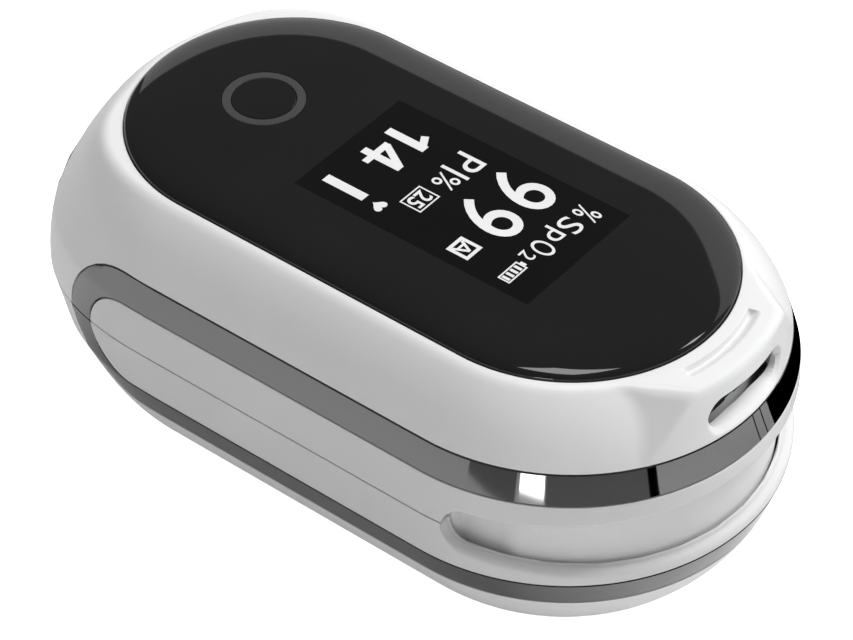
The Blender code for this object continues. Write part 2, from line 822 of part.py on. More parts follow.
def lower_frame():
    deck_top = LOWER_DECK_Z + DECK_THICK
    wall_foot = SEAM_Z - BAND_NEAR + GAP / 2
    inner = HALF_WIDTH - LIP_WALL
    wall = loft(
        "lower_frame",
        [
            (inner, wall_foot),
            (inner, SEAM_Z - GAP / 2),
            (HALF_WIDTH, SEAM_Z - GAP / 2),
            (HALF_WIDTH - INSET_NEAR, wall_foot),
        ],
        GREY,
        ring=True,
    )
    cut(wall, WEDGE)
    deck = slab("lower_deck", inner + 0.4, LOWER_DECK_Z, deck_top, swells=True)
    room_inner, room_outer = DECK_FRONT_R, HALF_WIDTH + 5
    skirt_room = loft(
        "skirt_room",
        [(room_inner, 0), (room_inner, SEAM_Z), (room_outer, SEAM_Z), (room_outer, 0)],
        ring=True,
        swells=False,
    )
    keep(skirt_room, front_only("skirt_room_front", PIVOT_Y - 1.3))
    cut(deck, skirt_room)
    posts = side_pair(
        "post",
        lambda n, a, b: eye_plate(n, a, b, LOWER_DECK_Z + 0.2, -1),
        POST_INNER,
        POST_THICK,
    )
    keep(join(wall, deck), frame_limit("lower_frame_limit"))
    join(wall, *posts)
    board_slot = block("board_slot", (-2.9, -14.6, 0), (2.9, 9.9, FAR))
    cut(wall, shaft_bore("lower_bore"), board_slot)
    for number, (x, y) in enumerate(screw_places(LOWER_SCREW_Y)):
        low = LOWER_DECK_Z - 0.5
        cut(wall, rod(f"lower_hole_{number}", (x, y, low), (x, y, low + 2), SCREW_R + GAP, segments=12))
    return by_manifold(wall)


def detector():
    low = LOWER_DECK_Z + 0.1
    block("detector_board", (-2.6, -14.2, low), (2.6, 9.5, low + 0.6), BOARD)
    chip_low = low + 0.9
    block("photodiode", (-1.6, SENSOR_Y - 1.6, chip_low), (1.6, SENSOR_Y + 1.6, chip_low + 0.4), CHIP)


def dry_cell(foot_y):
    """One dry cell lying along the middle, its positive nub towards the finger end."""
    shoulder_y = foot_y + NUB_LENGTH
    sleeve = rod("dry_cell", (0, foot_y + CELL_LENGTH, CELL_Z), (0, shoulder_y, CELL_Z), CELL_R, CELL, 32)
    nub = rod("cell_nub", (0, shoulder_y + 1, CELL_Z), (0, foot_y, CELL_Z), NUB_R, segments=16)
    return join(sleeve, nub)


def contact_spring(first_y, last_y, turns=3):
    """The tapered spring that presses on the cell's flat end."""
    per_turn = 10
    points = []
    for step in range(turns * per_turn + 1):
        share = step / (turns * per_turn)
        angle = 2 * math.pi * step / per_turn
        radius = 3.0 - 1.4 * share
        y = first_y + (last_y - first_y) * share
        points.append((radius * math.cos(angle), y, CELL_Z + radius * math.sin(angle)))
    return wire("negative_spring", points, WIRE_R, STEEL)


def contact_plate(name, y):
    half = PLATE_SIZE / 2
    low = (-half, y - PLATE_THICK / 2, CELL_Z - half)
    return block(name, low, (half, y + PLATE_THICK / 2, CELL_Z + half), STEEL)


def power_cell():
    foot_y = SPINE_MID - CELL_LENGTH / 2 - 0.6
    front_y = foot_y + CELL_LENGTH
    dry_cell(foot_y)
    contact_plate("positive_contact", foot_y - GAP - PLATE_THICK / 2)
    contact_spring(front_y + SPRING_LENGTH, front_y + GAP + WIRE_R)
    contact_plate("negative_contact", front_y + SPRING_LENGTH + WIRE_R + GAP + PLATE_THICK / 2)


def torsion_spring(name, side, turns=3):
    """A coil round the shaft whose two legs hold the squeeze end of the halves apart."""
    wire_r = 0.35
    radius = SHAFT_R + 0.35 + wire_r + 0.3
    pitch = 2 * wire_r + 0.08
    per_turn = 12
    middle = side * (EAR_INNER - 0.7 - turns * pitch / 2 - wire_r)
    first_x = middle - turns * pitch / 2
    lower_angle, upper_angle = math.radians(-60), math.radians(60)
    sweep = turns * 2 * math.pi + (upper_angle - lower_angle)
    steps = turns * per_turn + 4
    points = []
    foot = (first_x, PIVOT_Y + 5.6, LOWER_DECK_Z + DECK_THICK + GAP + wire_r)
    points.append(foot)
    for step in range(steps + 1):
        share = step / steps
        angle = lower_angle + sweep * share
        x = first_x + turns * pitch * share
        points.append((x, PIVOT_Y + radius * math.cos(angle), SEAM_Z + radius * math.sin(angle)))
    web_foot = UPPER_DECK_Z
    points.append((first_x + turns * pitch, PIVOT_Y + 4.8, web_foot - GAP - wire_r))
    return wire(name, points, wire_r, STEEL)


def flex_cable():
    """The ribbon that joins the main board to the detector board, past the pivot."""
    top = BOARD_Z - GAP
    low = LOWER_DECK_Z + DECK_THICK + GAP + FLEX_THICK
    foot = arc((PAD_END_Y + 1.8, low + FLEX_BEND), FLEX_BEND, 270, 360, 6)
    points = [(PAD_END_Y + 1.0, low), *foot, (FLEX_Y, top - 4.0), (FLEX_Y, top)]
    made = bmesh.new()
    rows = []
    for i, (y, z) in enumerate(points):
        before, after = Vector(points[max(i - 1, 0)]), Vector(points[min(i + 1, len(points) - 1)])
        run = (after - before).normalized() * FLEX_THICK
        corners = [(-FLEX_HALF, y, z), (FLEX_HALF, y, z)]
        corners += [(FLEX_HALF, y - run.y, z + run.x), (-FLEX_HALF, y - run.y, z + run.x)]
        rows.append([made.verts.new(corner) for corner in corners])
    for first, second in zip(rows, rows[1:]):
        for i in range(4):
            j = (i + 1) % 4
            made.faces.new((first[i], first[j], second[j], second[i]))
    made.faces.new(rows[0])
    made.faces.new(rows[-1])
    return from_bmesh("flex_cable", made, FLEX)


top_cover()
upper_band()
upper_frame()
front_panel()
display()
power_key()
boards()
screws("upper", UPPER_SCREW_Y, UPPER_DECK_Z - GAP - SCREW_HEAD, 1)
pads()
bottom_cover()
battery_door()
lower_band()
lower_frame()
detector()
power_cell()
screws("lower", LOWER_SCREW_Y, LOWER_DECK_Z + DECK_THICK + GAP + SCREW_HEAD, -1)
across_pivot("hinge_shaft", SHAFT_REACH, SHAFT_R, STEEL)
for spring_name, spring_side in (("torsion_spring_left", -1), ("torsion_spring_right", 1)):
    torsion_spring(spring_name, spring_side)
flex_cable()
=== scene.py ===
"""Looks of the fingertip pulse oximeter, built round its fixed frame.

The body is one stadium outline carried round the frame's own sizes: +Y is the end that is squeezed,
-Y the end where the finger goes in. Shapes are worked out in millimetres and placed in metres.
"""

import math

import bmesh
import bpy
from mathutils import Matrix, Vector


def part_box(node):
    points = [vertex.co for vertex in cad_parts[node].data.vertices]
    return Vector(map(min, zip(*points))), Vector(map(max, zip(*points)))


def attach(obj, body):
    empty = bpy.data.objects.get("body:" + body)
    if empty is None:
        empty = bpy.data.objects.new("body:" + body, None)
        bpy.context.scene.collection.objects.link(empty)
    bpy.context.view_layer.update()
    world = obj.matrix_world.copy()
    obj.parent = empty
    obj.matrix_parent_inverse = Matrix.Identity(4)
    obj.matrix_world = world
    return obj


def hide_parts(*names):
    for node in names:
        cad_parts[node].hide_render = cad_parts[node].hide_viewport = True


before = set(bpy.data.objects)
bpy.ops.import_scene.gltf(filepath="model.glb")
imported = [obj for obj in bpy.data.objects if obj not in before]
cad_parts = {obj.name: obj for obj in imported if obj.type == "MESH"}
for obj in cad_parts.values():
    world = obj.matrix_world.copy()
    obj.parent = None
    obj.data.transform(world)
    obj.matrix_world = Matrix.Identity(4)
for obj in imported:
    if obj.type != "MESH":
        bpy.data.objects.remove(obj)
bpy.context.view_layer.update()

MM = 0.001


def span(node):
    """Lowest and highest corners of a frame node, in millimetres."""
    low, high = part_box(node)
    return low / MM, high / MM


# Places taken from the frame

PANEL_LOW, PANEL_HIGH = span("front_panel")
BAND_LOW, BAND_HIGH = span("upper_band")
TRIM_HIGH = span("lower_band")[1]
WINDOW_LOW, WINDOW_HIGH = span("display_window")
KEY_LOW, KEY_HIGH = span("power_button")
RING_LOW, RING_HIGH = span("button_ring")
PAD_HIGH = span("upper_pad")[1]
SOLE_LOW = span("lower_pad")[0]
DOOR_LOW, DOOR_HIGH = span("battery_door")

HEIGHT = PANEL_HIGH.z
HALF_WIDTH = span("upper_frame")[1].x
PANEL_HALF = PANEL_HIGH.x
FRONT_Y = PANEL_HIGH.y - PANEL_HALF
REAR_Y = PANEL_LOW.y + PANEL_HALF
RIM_Z = span("top_cover")[1].z
SEAM_Z = (BAND_LOW.z + TRIM_HIGH.z) / 2
FRAME_GAP = BAND_LOW.z - TRIM_HIGH.z
BAND_FAR = BAND_HIGH.z - SEAM_Z + FRAME_GAP / 2
KEY_Y = (KEY_LOW.y + KEY_HIGH.y) / 2

PANEL_ROLL = 3.6
PANEL_CURVE = 2.4

# Outer surface, as the frame has it

BAND_NEAR = 4.1
INSET_NEAR = 0.18
INSET_FAR = 0.95
BEND_Y = -14.6
FLANK_SLOPE = math.radians(20.5)
FLANK_RIM = 0.6
BASE_ARC = 13.8
BASE_ARC_END = math.radians(45)
BASE_HALF = 8.8
BASE_ROUND = 1.1
BASE_EDGE = 0.4
REAR_SWELL = 1.38
SWELL_Z = 17.8
SWELL_REACH = 9.0
RIM_FLARE = 1.1
MOUTH_ROUND = 4.2
WALL = 1.2
LINE = 0.05
SEAM_LINE = 0.07
BAND_THICK = 1.0

# Ledge, slot and finger groove

LEDGE_R = 16.5
LEDGE_FILLET = 0.75
RIM_FILLET = 0.45
LEDGE_BLEND = 0.3
LEDGE_SIDE = (Vector((5.65, 15.6, 28.9)), Vector((9.95, 13.8, 23.86)), Vector((7.5, 12.3, 28.9)))
SLOT_Z = 25.75
SLOT_HALF = 4.4
SLOT_R = 1.4
SLOT_PLANE = 15.55
GROOVE_R = 14.5
GROOVE_WIDTH = 1.15
GROOVE_DEPTH = 0.5
GROOVE_TURN = math.radians(15)

# Squeeze end

WEDGE_Y = 18.15
WEDGE_R = 1.95
WEDGE_DROP = 0.25
WEDGE_TOP = 2.4
WEDGE_BOTTOM = 3.3
SKIRT_R = HALF_WIDTH - 1.5
SKIRT_WALL = 0.8
SKIRT_FOOT = SEAM_Z - 4.0
SKIRT_START_Y = 15.95
SKIRT_STEP = 0.45
SKIRT_STEP_Y = 19.6
SKIRT_STEP_RUN = 1.8
LIP_WALL = 1.15


# Mesh helpers


def cosd(turn):
    return math.cos(math.radians(turn))


def sind(turn):
    return math.sin(math.radians(turn))


def smooth(share):
    share = min(max(share, 0.0), 1.0)
    return share * share * (3 - 2 * share)


def mix(a, b, share):
    return a + (b - a) * share


def spread(*stops):
    """Values from each (start, steps) stop to the next, ending on the last stop's start."""
    found = []
    for (start, steps), (end, _) in zip(stops, stops[1:]):
        found += [mix(start, end, i / steps) for i in range(steps)]
    return found + [stops[-1][0]]


def show(name, made, finish, sharp=32):
    """A bmesh in millimetres as an object in metres, smooth but for edges above the sharp angle."""
    made.transform(Matrix.Scale(MM, 4))
    mesh = bpy.data.meshes.new(name)
    made.to_mesh(mesh)
    made.free()
    mesh.materials.append(finish)
    mesh.shade_smooth()
    mesh.set_sharp_from_angle(angle=math.radians(sharp))
    obj = bpy.data.objects.new(name, mesh)
    bpy.context.scene.collection.objects.link(obj)
    return obj


def ring_loft(name, sections, finish, closed=True, sharp=32):
    """Closed sections of equal length joined in order: round to the first, or capped at both ends."""
    made = bmesh.new()
    rows = [[made.verts.new(point) for point in section] for section in sections]
    pairs = list(zip(rows, rows[1:])) + ([(rows[-1], rows[0])] if closed else [])
    for first, second in pairs:
        for i in range(len(first)):
            j = (i + 1) % len(first)
            made.faces.new((first[i], first[j], second[j], second[i]))
    if not closed:
        made.faces.new(rows[0])
        made.faces.new(rows[-1])
    bmesh.ops.recalc_face_normals(made, faces=made.faces)
    return show(name, made, finish, sharp)


def plate_loft(name, stations, profile, finish, sharp=32):
    """A solid plate: each (offset, height) of the profile is one loop round the stadium."""
    made = bmesh.new()
    loops = []
    for out, z in profile:
        loops.append([made.verts.new(place(st, out, z)) for st in stations])
    for lower, upper in zip(loops, loops[1:]):
        for i in range(len(lower)):
            j = (i + 1) % len(lower)
            made.faces.new((lower[i], lower[j], upper[j], upper[i]))
    made.faces.new(loops[0])
    made.faces.new(loops[-1])
    bmesh.ops.recalc_face_normals(made, faces=made.faces)
    return show(name, made, finish, sharp)


def box_mesh(name, low, high, finish, bevel=0.0):
    made = bmesh.new()
    bmesh.ops.create_cube(made, size=1)
    size = Vector(high) - Vector(low)
    middle = (Vector(high) + Vector(low)) / 2
    made.transform(Matrix.Translation(middle) @ Matrix.Diagonal((*size, 1)))
    if bevel:
        bmesh.ops.bevel(made, geom=made.edges[:], offset=bevel, segments=3, affect="EDGES", profile=0.5)
    return show(name, made, finish)


def turned(name, centre, axis, profile, finish, steps=48, sharp=32):
    """A round piece: (radius, height) points turned about an axis through the centre."""
    made = bmesh.new()
    loops = []
    for radius, height in profile:
        loop = []
        for i in range(steps):
            turn = 360 * i / steps
            loop.append(made.verts.new((radius * cosd(turn), radius * sind(turn), height)))
        loops.append(loop)
    for lower, upper in zip(loops, loops[1:]):
        for i in range(steps):
            j = (i + 1) % steps
            made.faces.new((lower[i], lower[j], upper[j], upper[i]))
    made.faces.new(loops[0])
    made.faces.new(loops[-1])
    bmesh.ops.recalc_face_normals(made, faces=made.faces)
    turn = Vector((0, 0, 1)).rotation_difference(Vector(axis)).to_matrix().to_4x4()
    made.transform(Matrix.Translation(Vector(centre)) @ turn)
    return show(name, made, finish, sharp)


def carve(obj, tools, operation="DIFFERENCE", solver="MANIFOLD", sharp=32):
    """Cuts, joins or keeps with each tool in turn, then leaves a plain mesh and no tools."""
    for tool in tools:
        modifier = obj.modifiers.new("carve", "BOOLEAN")
        modifier.operation = operation
        modifier.solver = solver
        modifier.object = tool
    settle(obj, sharp)
    for tool in tools:
        bpy.data.objects.remove(tool, do_unlink=True)
    return obj


def settle(obj, sharp=32):
    """Applies the modifiers of a piece and shades the result."""
    graph = bpy.context.evaluated_depsgraph_get()
    mesh = bpy.data.meshes.new_from_object(obj.evaluated_get(graph))
    obj.modifiers.clear()
    obj.data = mesh
    mesh.shade_smooth()
    mesh.set_sharp_from_angle(angle=math.radians(sharp))
    return obj


def soften(obj, width, angle=40, segments=2, sharp=40):
    """Small rounded edges on a finished solid."""
    modifier = obj.modifiers.new("soften", "BEVEL")
    modifier.width = width * MM
    modifier.segments = segments
    modifier.limit_method = "ANGLE"
    modifier.angle_limit = math.radians(angle)
    modifier.use_clamp_overlap = True
    return settle(obj, sharp)


def merged_copy(node, name, finish):
    """A frame node's mesh with its corners merged, as a new piece."""
    made = bmesh.new()
    made.from_mesh(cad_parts[node].data)
    bmesh.ops.remove_doubles(made, verts=made.verts, dist=1e-6)
    made.transform(Matrix.Scale(1 / MM, 4))
    return show(name, made, finish)


def done(obj, body, slot, *nodes):
    """Rides a finished piece on its body and lets it stand for frame nodes; the finish name it is given is
    not used.
    """
    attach(obj, body)
    if nodes:
        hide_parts(*nodes)
    return obj


# Materials


def group_socket(tree, name, kind, out=False, value=None):
    socket = tree.interface.new_socket(name=name, in_out="OUTPUT" if out else "INPUT", socket_type=kind)
    if value is not None:
        socket.default_value = value
    return socket


def new_group(name, inputs, outputs):
    tree = bpy.data.node_groups.new(name, "ShaderNodeTree")
    for label, kind, value in inputs:
        group_socket(tree, label, kind, value=value)
    for label, kind in outputs:
        group_socket(tree, label, kind, out=True)
    return tree, tree.nodes.new("NodeGroupInput"), tree.nodes.new("NodeGroupOutput")


def grain_group():
    """Fine moulded grain: a height, and a slow tone that drifts over the piece."""
    tree, given, result = new_group(
        "moulded_grain",
        [("Grain Scale", "NodeSocketFloat", 9000.0), ("Drift Scale", "NodeSocketFloat", 60.0)],
        [("Height", "NodeSocketFloat"), ("Drift", "NodeSocketFloat")],
    )
    where = tree.nodes.new("ShaderNodeTexCoord")
    for scale, detail, output in (("Grain Scale", 2.0, "Height"), ("Drift Scale", 3.0, "Drift")):
        noise = tree.nodes.new("ShaderNodeTexNoise")
        noise.inputs["Detail"].default_value = detail
        tree.links.new(where.outputs["Object"], noise.inputs["Vector"])
        tree.links.new(given.outputs[scale], noise.inputs["Scale"])
        tree.links.new(noise.outputs["Fac"], result.inputs[output])
    return tree


def streak_group():
    """Long faint streaks along the body, as on drawn or plated metal."""
    tree, given, result = new_group(
        "drawn_streaks",
        [("Scale", "NodeSocketFloat", 120.0), ("Stretch", "NodeSocketFloat", 0.06)],
        [("Streak", "NodeSocketFloat")],
    )
    where = tree.nodes.new("ShaderNodeTexCoord")
    scale = tree.nodes.new("ShaderNodeCombineXYZ")
    scale.inputs["X"].default_value = 1.0
    scale.inputs["Z"].default_value = 1.0
    tree.links.new(given.outputs["Stretch"], scale.inputs["Y"])
    stretched = tree.nodes.new("ShaderNodeVectorMath")
    stretched.operation = "MULTIPLY"
    tree.links.new(where.outputs["Object"], stretched.inputs[0])
    tree.links.new(scale.outputs["Vector"], stretched.inputs[1])
    noise = tree.nodes.new("ShaderNodeTexNoise")
    noise.inputs["Detail"].default_value = 6.0
    tree.links.new(stretched.outputs["Vector"], noise.inputs["Vector"])
    tree.links.new(given.outputs["Scale"], noise.inputs["Scale"])
    tree.links.new(noise.outputs["Fac"], result.inputs["Streak"])
    return tree


GRAIN = grain_group()
STREAKS = streak_group()


def put_group(tree, group, **values):
    node = tree.nodes.new("ShaderNodeGroup")
    node.node_tree = group
    for label, value in values.items():
        node.inputs[label.replace("_", " ")].default_value = value
    return node


def ranged(tree, source, low, high):
    """The 0 to 1 output of a noise moved to the range that a socket takes."""
    node = tree.nodes.new("ShaderNodeMapRange")
    node.inputs["From Min"].default_value = 0.3
    node.inputs["From Max"].default_value = 0.7
    node.inputs["To Min"].default_value = low
    node.inputs["To Max"].default_value = high
    tree.links.new(source, node.inputs["Value"])
    return node.outputs["Result"]


def two_tone(tree, mask, first, second):
    node = tree.nodes.new("ShaderNodeMix")
    node.data_type = "RGBA"
    node.inputs["A"].default_value = (*first, 1)
    node.inputs["B"].default_value = (*second, 1)
    tree.links.new(mask, node.inputs["Factor"])
    return node.outputs["Result"]


def bumped(tree, shader, height, strength, distance):
    bump = tree.nodes.new("ShaderNodeBump")
    bump.inputs["Strength"].default_value = strength
    bump.inputs["Distance"].default_value = distance * MM
    tree.links.new(height, bump.inputs["Height"])
    tree.links.new(bump.outputs["Normal"], shader.inputs["Normal"])


def finish(name, dark, light, rough, grain=9000.0, drift=60.0, bump=0.15, depth=0.02, **sockets):
    """A moulded finish: two close tones that drift, a roughness range and a fine grain."""
    made = bpy.data.materials.new(name)
    made.use_nodes = True
    tree = made.node_tree
    shader = tree.nodes["Principled BSDF"]
    field = put_group(tree, GRAIN, Grain_Scale=grain, Drift_Scale=drift)
    drifting = ranged(tree, field.outputs["Drift"], 0.0, 1.0)
    tree.links.new(two_tone(tree, drifting, dark, light), shader.inputs["Base Color"])
    tree.links.new(ranged(tree, field.outputs["Height"], *rough), shader.inputs["Roughness"])
    if bump:
        bumped(tree, shader, field.outputs["Height"], bump, depth)
    for label, value in sockets.items():
        shader.inputs[label.replace("_", " ")].default_value = value
    made.diffuse_color = (*light, 1)
    return made


def metal(name, dark, light, rough, scale=120.0, stretch=0.06):
    """A metal finish with streaks in its tone and roughness."""
    made = bpy.data.materials.new(name)
    made.use_nodes = True
    tree = made.node_tree
    shader = tree.nodes["Principled BSDF"]
    shader.inputs["Metallic"].default_value = 1.0
    streak = put_group(tree, STREAKS, Scale=scale, Stretch=stretch).outputs["Streak"]
    tone = ranged(tree, streak, 0.0, 1.0)
    tree.links.new(two_tone(tree, tone, dark, light), shader.inputs["Base Color"])
    tree.links.new(ranged(tree, streak, *rough), shader.inputs["Roughness"])
    made.diffuse_color = (*light, 1)
    return made


def grey(value):
    return (value, value, value * 1.004)


WHITE = finish("white_shell", grey(0.76), grey(0.80), (0.36, 0.46), bump=0.05)
PALE = finish("grey_shell", grey(0.68), grey(0.72), (0.42, 0.52), bump=0.06)
TEXTURED = finish("fine_texture", grey(0.72), grey(0.80), (0.55, 0.7), grain=4200.0, bump=0.5, depth=0.05)
CHROME = metal("chrome", (0.17, 0.17, 0.173), (0.22, 0.22, 0.223), (0.02, 0.05))
GLOSS = finish("black_gloss", grey(0.0085), grey(0.011), (0.035, 0.05), bump=0.0, Coat_Weight=0.0)
SCREEN = finish("screen", grey(0.0035), grey(0.0045), (0.05, 0.07), bump=0.0, Specular_IOR_Level=0.32)
PRINT = finish("ring_print", grey(0.038), grey(0.045), (0.25, 0.35), bump=0.0)
SILICONE = finish(
    "silicone", grey(0.045), grey(0.06), (0.5, 0.68), grain=2600.0, bump=0.35, depth=0.06,
    Sheen_Weight=0.15, Sheen_Roughness=0.5,
)
BOARD = finish("circuit_board", (0.012, 0.09, 0.035), (0.02, 0.14, 0.05), (0.3, 0.45), grain=1500.0, bump=0.2)
CHIP = finish("chip", grey(0.018), grey(0.03), (0.45, 0.6), grain=5000.0, bump=0.3)
STEEL = metal("steel", (0.5, 0.5, 0.52), (0.66, 0.66, 0.68), (0.2, 0.34), scale=300.0, stretch=1.0)
SPRING = metal("spring_steel", (0.4, 0.4, 0.42), (0.55, 0.55, 0.57), (0.15, 0.3), scale=500.0, stretch=1.0)
SLEEVE = finish("cell_sleeve", (0.05, 0.16, 0.32), (0.08, 0.22, 0.42), (0.28, 0.36), bump=0.05)
FLEX = finish("flex", (0.36, 0.16, 0.03), (0.48, 0.24, 0.06), (0.35, 0.45), bump=0.1)
RED = finish(
    "red_window", (0.3, 0.015, 0.015), (0.4, 0.03, 0.03), (0.08, 0.14), bump=0.0,
    Transmission_Weight=0.35, IOR=1.49,
)


def lit_print():
    """The lit marks of the display."""
    made = bpy.data.materials.new("lit_symbols")
    made.use_nodes = True
    tree = made.node_tree
    shader = tree.nodes["Principled BSDF"]
    shader.inputs["Base Color"].default_value = (0.02, 0.02, 0.02, 1)
    shader.inputs["Roughness"].default_value = 0.2
    shader.inputs["Emission Strength"].default_value = 1.0
    field = put_group(tree, GRAIN, Grain_Scale=3000.0, Drift_Scale=300.0)
    glow = two_tone(tree, ranged(tree, field.outputs["Drift"], 0.0, 1.0), grey(0.80), grey(0.86))
    tree.links.new(glow, shader.inputs["Emission Color"])
    return made


LIT = lit_print()


# Outer surface


def flank_arc():
    """Centre and radius of the top cover's flank."""
    foot = Vector((HALF_WIDTH - INSET_FAR, SEAM_Z + BAND_FAR))
    rim = Vector((PANEL_HALF + FLANK_RIM, RIM_Z))
    inward = Vector((-math.cos(FLANK_SLOPE), -math.sin(FLANK_SLOPE)))
    run = rim - foot
    radius = run.length_squared / (2 * run.dot(inward))
    return foot + inward * radius, radius


FLANK_CENTRE, FLANK_RADIUS = flank_arc()
BASE_CENTRE = Vector(
    (
        HALF_WIDTH - INSET_FAR - BASE_ARC * math.cos(FLANK_SLOPE),
        SEAM_Z - BAND_FAR + BASE_ARC * math.sin(FLANK_SLOPE),
    )
)
BASE_ARC_FOOT = BASE_CENTRE + BASE_ARC * Vector((math.cos(BASE_ARC_END), -math.sin(BASE_ARC_END)))


def plain_offset(z):
    """Outer surface of the stadium at this height, before any swell."""
    rise = abs(z - SEAM_Z)
    if rise <= BAND_NEAR:
        return HALF_WIDTH - INSET_NEAR * rise / BAND_NEAR
    if rise <= BAND_FAR:
        return HALF_WIDTH - mix(INSET_NEAR, INSET_FAR, (rise - BAND_NEAR) / (BAND_FAR - BAND_NEAR))
    if z > SEAM_Z:
        return FLANK_CENTRE.x + math.sqrt(FLANK_RADIUS**2 - (z - FLANK_CENTRE.y) ** 2)
    if z >= BASE_ARC_FOOT.y:
        return BASE_CENTRE.x + math.sqrt(BASE_ARC**2 - (z - BASE_CENTRE.y) ** 2)
    share = (z - BASE_EDGE) / (BASE_ARC_FOOT.y - BASE_EDGE)
    return mix(BASE_HALF, BASE_ARC_FOOT.x, share)


def swell(across, along, z):
    """How far the finger end stands out from the plain stadium."""
    turn = math.degrees(math.atan2(abs(across), along))
    height_share = min(abs(z - SWELL_Z) / SWELL_REACH, 1)
    return REAR_SWELL * smooth((turn - 90) / 45) * math.cos(math.pi / 2 * height_share) ** 2


def flare(across, along, z):
    """How far the rim spreads at the finger end, above the bands."""
    turn = math.degrees(math.atan2(abs(across), along))
    rise = (z - SEAM_Z - BAND_FAR) / (RIM_Z - SEAM_Z - BAND_FAR)
    shoulder = smooth((turn - 90) / 45) * (1 - smooth((turn - 135) / 30))
    return RIM_FLARE * shoulder * max(rise, 0.0) ** 1.5


def place(station, out, z):
    spine_y, across, along = station
    return Vector((across * out, spine_y + along * out, z))


def outer(station, z):
    _, across, along = station
    return plain_offset(z) + swell(across, along, z) + flare(across, along, z)


def stadium(front_turns, side_steps, rear_turns):
    """Stations all the way round, from +X over the front to -X and back round the finger end."""
    found = [(FRONT_Y, cosd(t), sind(t)) for t in front_turns]
    found += [(mix(FRONT_Y, REAR_Y, i / side_steps), -1.0, 0.0) for i in range(1, side_steps)]
    found += [(REAR_Y, cosd(t), sind(t)) for t in rear_turns]
    found += [(mix(REAR_Y, FRONT_Y, i / side_steps), 1.0, 0.0) for i in range(1, side_steps)]
    return found


def on_side(side, y, z, inset):
    """The point on the outer surface at this height and place along the body."""
    if y >= REAR_Y:
        return Vector((side * (plain_offset(z) - inset), y, z))
    along = 0.0
    for _ in range(6):
        across = math.sqrt(1 - along * along)
        out = plain_offset(z) + swell(across, along, z) - inset
        along = max((y - REAR_Y) / out, -0.999)
    return Vector((side * out * math.sqrt(1 - along * along), y, z))


def bend_rise(y, reach):
    """Half height of the bands' round end at this place along the body."""
    if y >= BEND_Y:
        return reach
    return math.sqrt(max(reach**2 - (y - BEND_Y) ** 2, 0.0))


MOUTH_HALF = PAD_HIGH.x + 0.08
MOUTH_TURN = math.degrees(math.acos(MOUTH_HALF / (HALF_WIDTH + REAR_SWELL)))
BEND_TURN = math.degrees(math.asin((REAR_Y - BEND_Y + BAND_FAR) / (HALF_WIDTH + 0.6)))


def rear_turns():
    """Turns round the finger end, close together where the bend and the mouth cut the covers."""
    half = [
        (0, 8), (BEND_TURN - 6, 36), (BEND_TURN + 1.5, 12),
        (MOUTH_TURN - 0.2, 1), (MOUTH_TURN, 24), (90, 1),
    ]
    near = spread(*half)
    return [180 + turn for turn in near] + [360 - turn for turn in near[-2::-1]]


def foot_rise(station, sign, mouth_z):
    """Height where a cover ends at this station: along the bands, then the seam, then the mouth."""
    spine_y, across, along = station
    reach = BAND_FAR + LINE
    z = SEAM_Z + sign * reach
    if spine_y != REAR_Y or along >= 0:
        return z
    for _ in range(12):
        y = spine_y + along * outer(station, z)
        z = SEAM_Z + sign * max(bend_rise(y, reach), SEAM_LINE)
    reach_across = abs(across) * outer(station, SEAM_Z)
    if reach_across < MOUTH_HALF and along < -0.3:
        return mouth_z - sign * corner_drop(reach_across)
    return z


def corner_drop(across):
    """How far the mouth's round corner comes down at this distance from the middle."""
    past = max(across - (MOUTH_HALF - MOUTH_ROUND), 0.0)
    return MOUTH_ROUND - math.sqrt(max(MOUTH_ROUND**2 - past**2, 0.0))


# Top cover


def soft_max(a, b, reach):
    near = max(reach - abs(a - b), 0.0) / reach
    return max(a, b) + near * near * reach / 4


def ledge_offset(station, z):
    """Distance to the ledge's front facet, or to the soft side that runs back to the rim."""
    _, across, along = station
    front = mix(HALF_WIDTH - INSET_FAR, LEDGE_R, (z - SEAM_Z - BAND_FAR) / (RIM_Z - 0.3 - SEAM_Z - BAND_FAR))
    a, b, c = LEDGE_SIDE
    normal = (b - a).cross(c - a)
    facing = Vector((abs(across), along, 0)).dot(normal)
    if facing * normal.x <= 0:
        return 0.0
    start = Vector((0, 0, z))
    side = (a - start).dot(normal) / facing
    if side <= 0:
        return 0.0
    return -soft_max(-front, -side, LEDGE_BLEND)


def slot_share(station, z, grow=0.0):
    """How deep inside the slot's outline a point is: below 0 outside it."""
    _, across, along = station
    reach = math.atan2(across, along) * LEDGE_R
    side = max(abs(reach) - (SLOT_HALF - SLOT_R), 0.0)
    return SLOT_R + grow - math.hypot(side, z - SLOT_Z)


def slot_depth(station, z):
    """The rounded lips of the slot, which curve in to its flat inner plane."""
    inside = slot_share(station, z, 0.3)
    if inside <= 0:
        return 0.0
    lip = 0.5 if z < SLOT_Z else 0.35
    return (0.45 if z < SLOT_Z else 0.6) * smooth(inside / lip)


def cover_out(station, z):
    flank = outer(station, z)
    if station[2] < 0.3 or station[0] != FRONT_Y:
        return flank
    rise = (z - SEAM_Z - BAND_FAR) / (RIM_Z - SEAM_Z - BAND_FAR)
    blend = LEDGE_BLEND * min(max(rise * 4, 0.02), 1)
    return soft_max(flank, ledge_offset(station, z), blend)


def groove_depth(station, out):
    """The finger groove: a steep wall on the panel side and a long ramp outwards."""
    _, across, along = station
    past = max(abs(math.atan2(across, along)) - GROOVE_TURN, 0.0) * GROOVE_R
    half = GROOVE_WIDTH / 2
    radial = (out - GROOVE_R) / half
    if past > half or abs(radial) > 1 or station[0] != FRONT_Y:
        return 0.0
    end = math.sqrt(max(1 - (past / half) ** 2, 0.0))
    wall = smooth((radial + 1) / 0.3)
    ramp = 1 - smooth((radial + 0.6) / 1.6)
    return GROOVE_DEPTH * end * wall * ramp


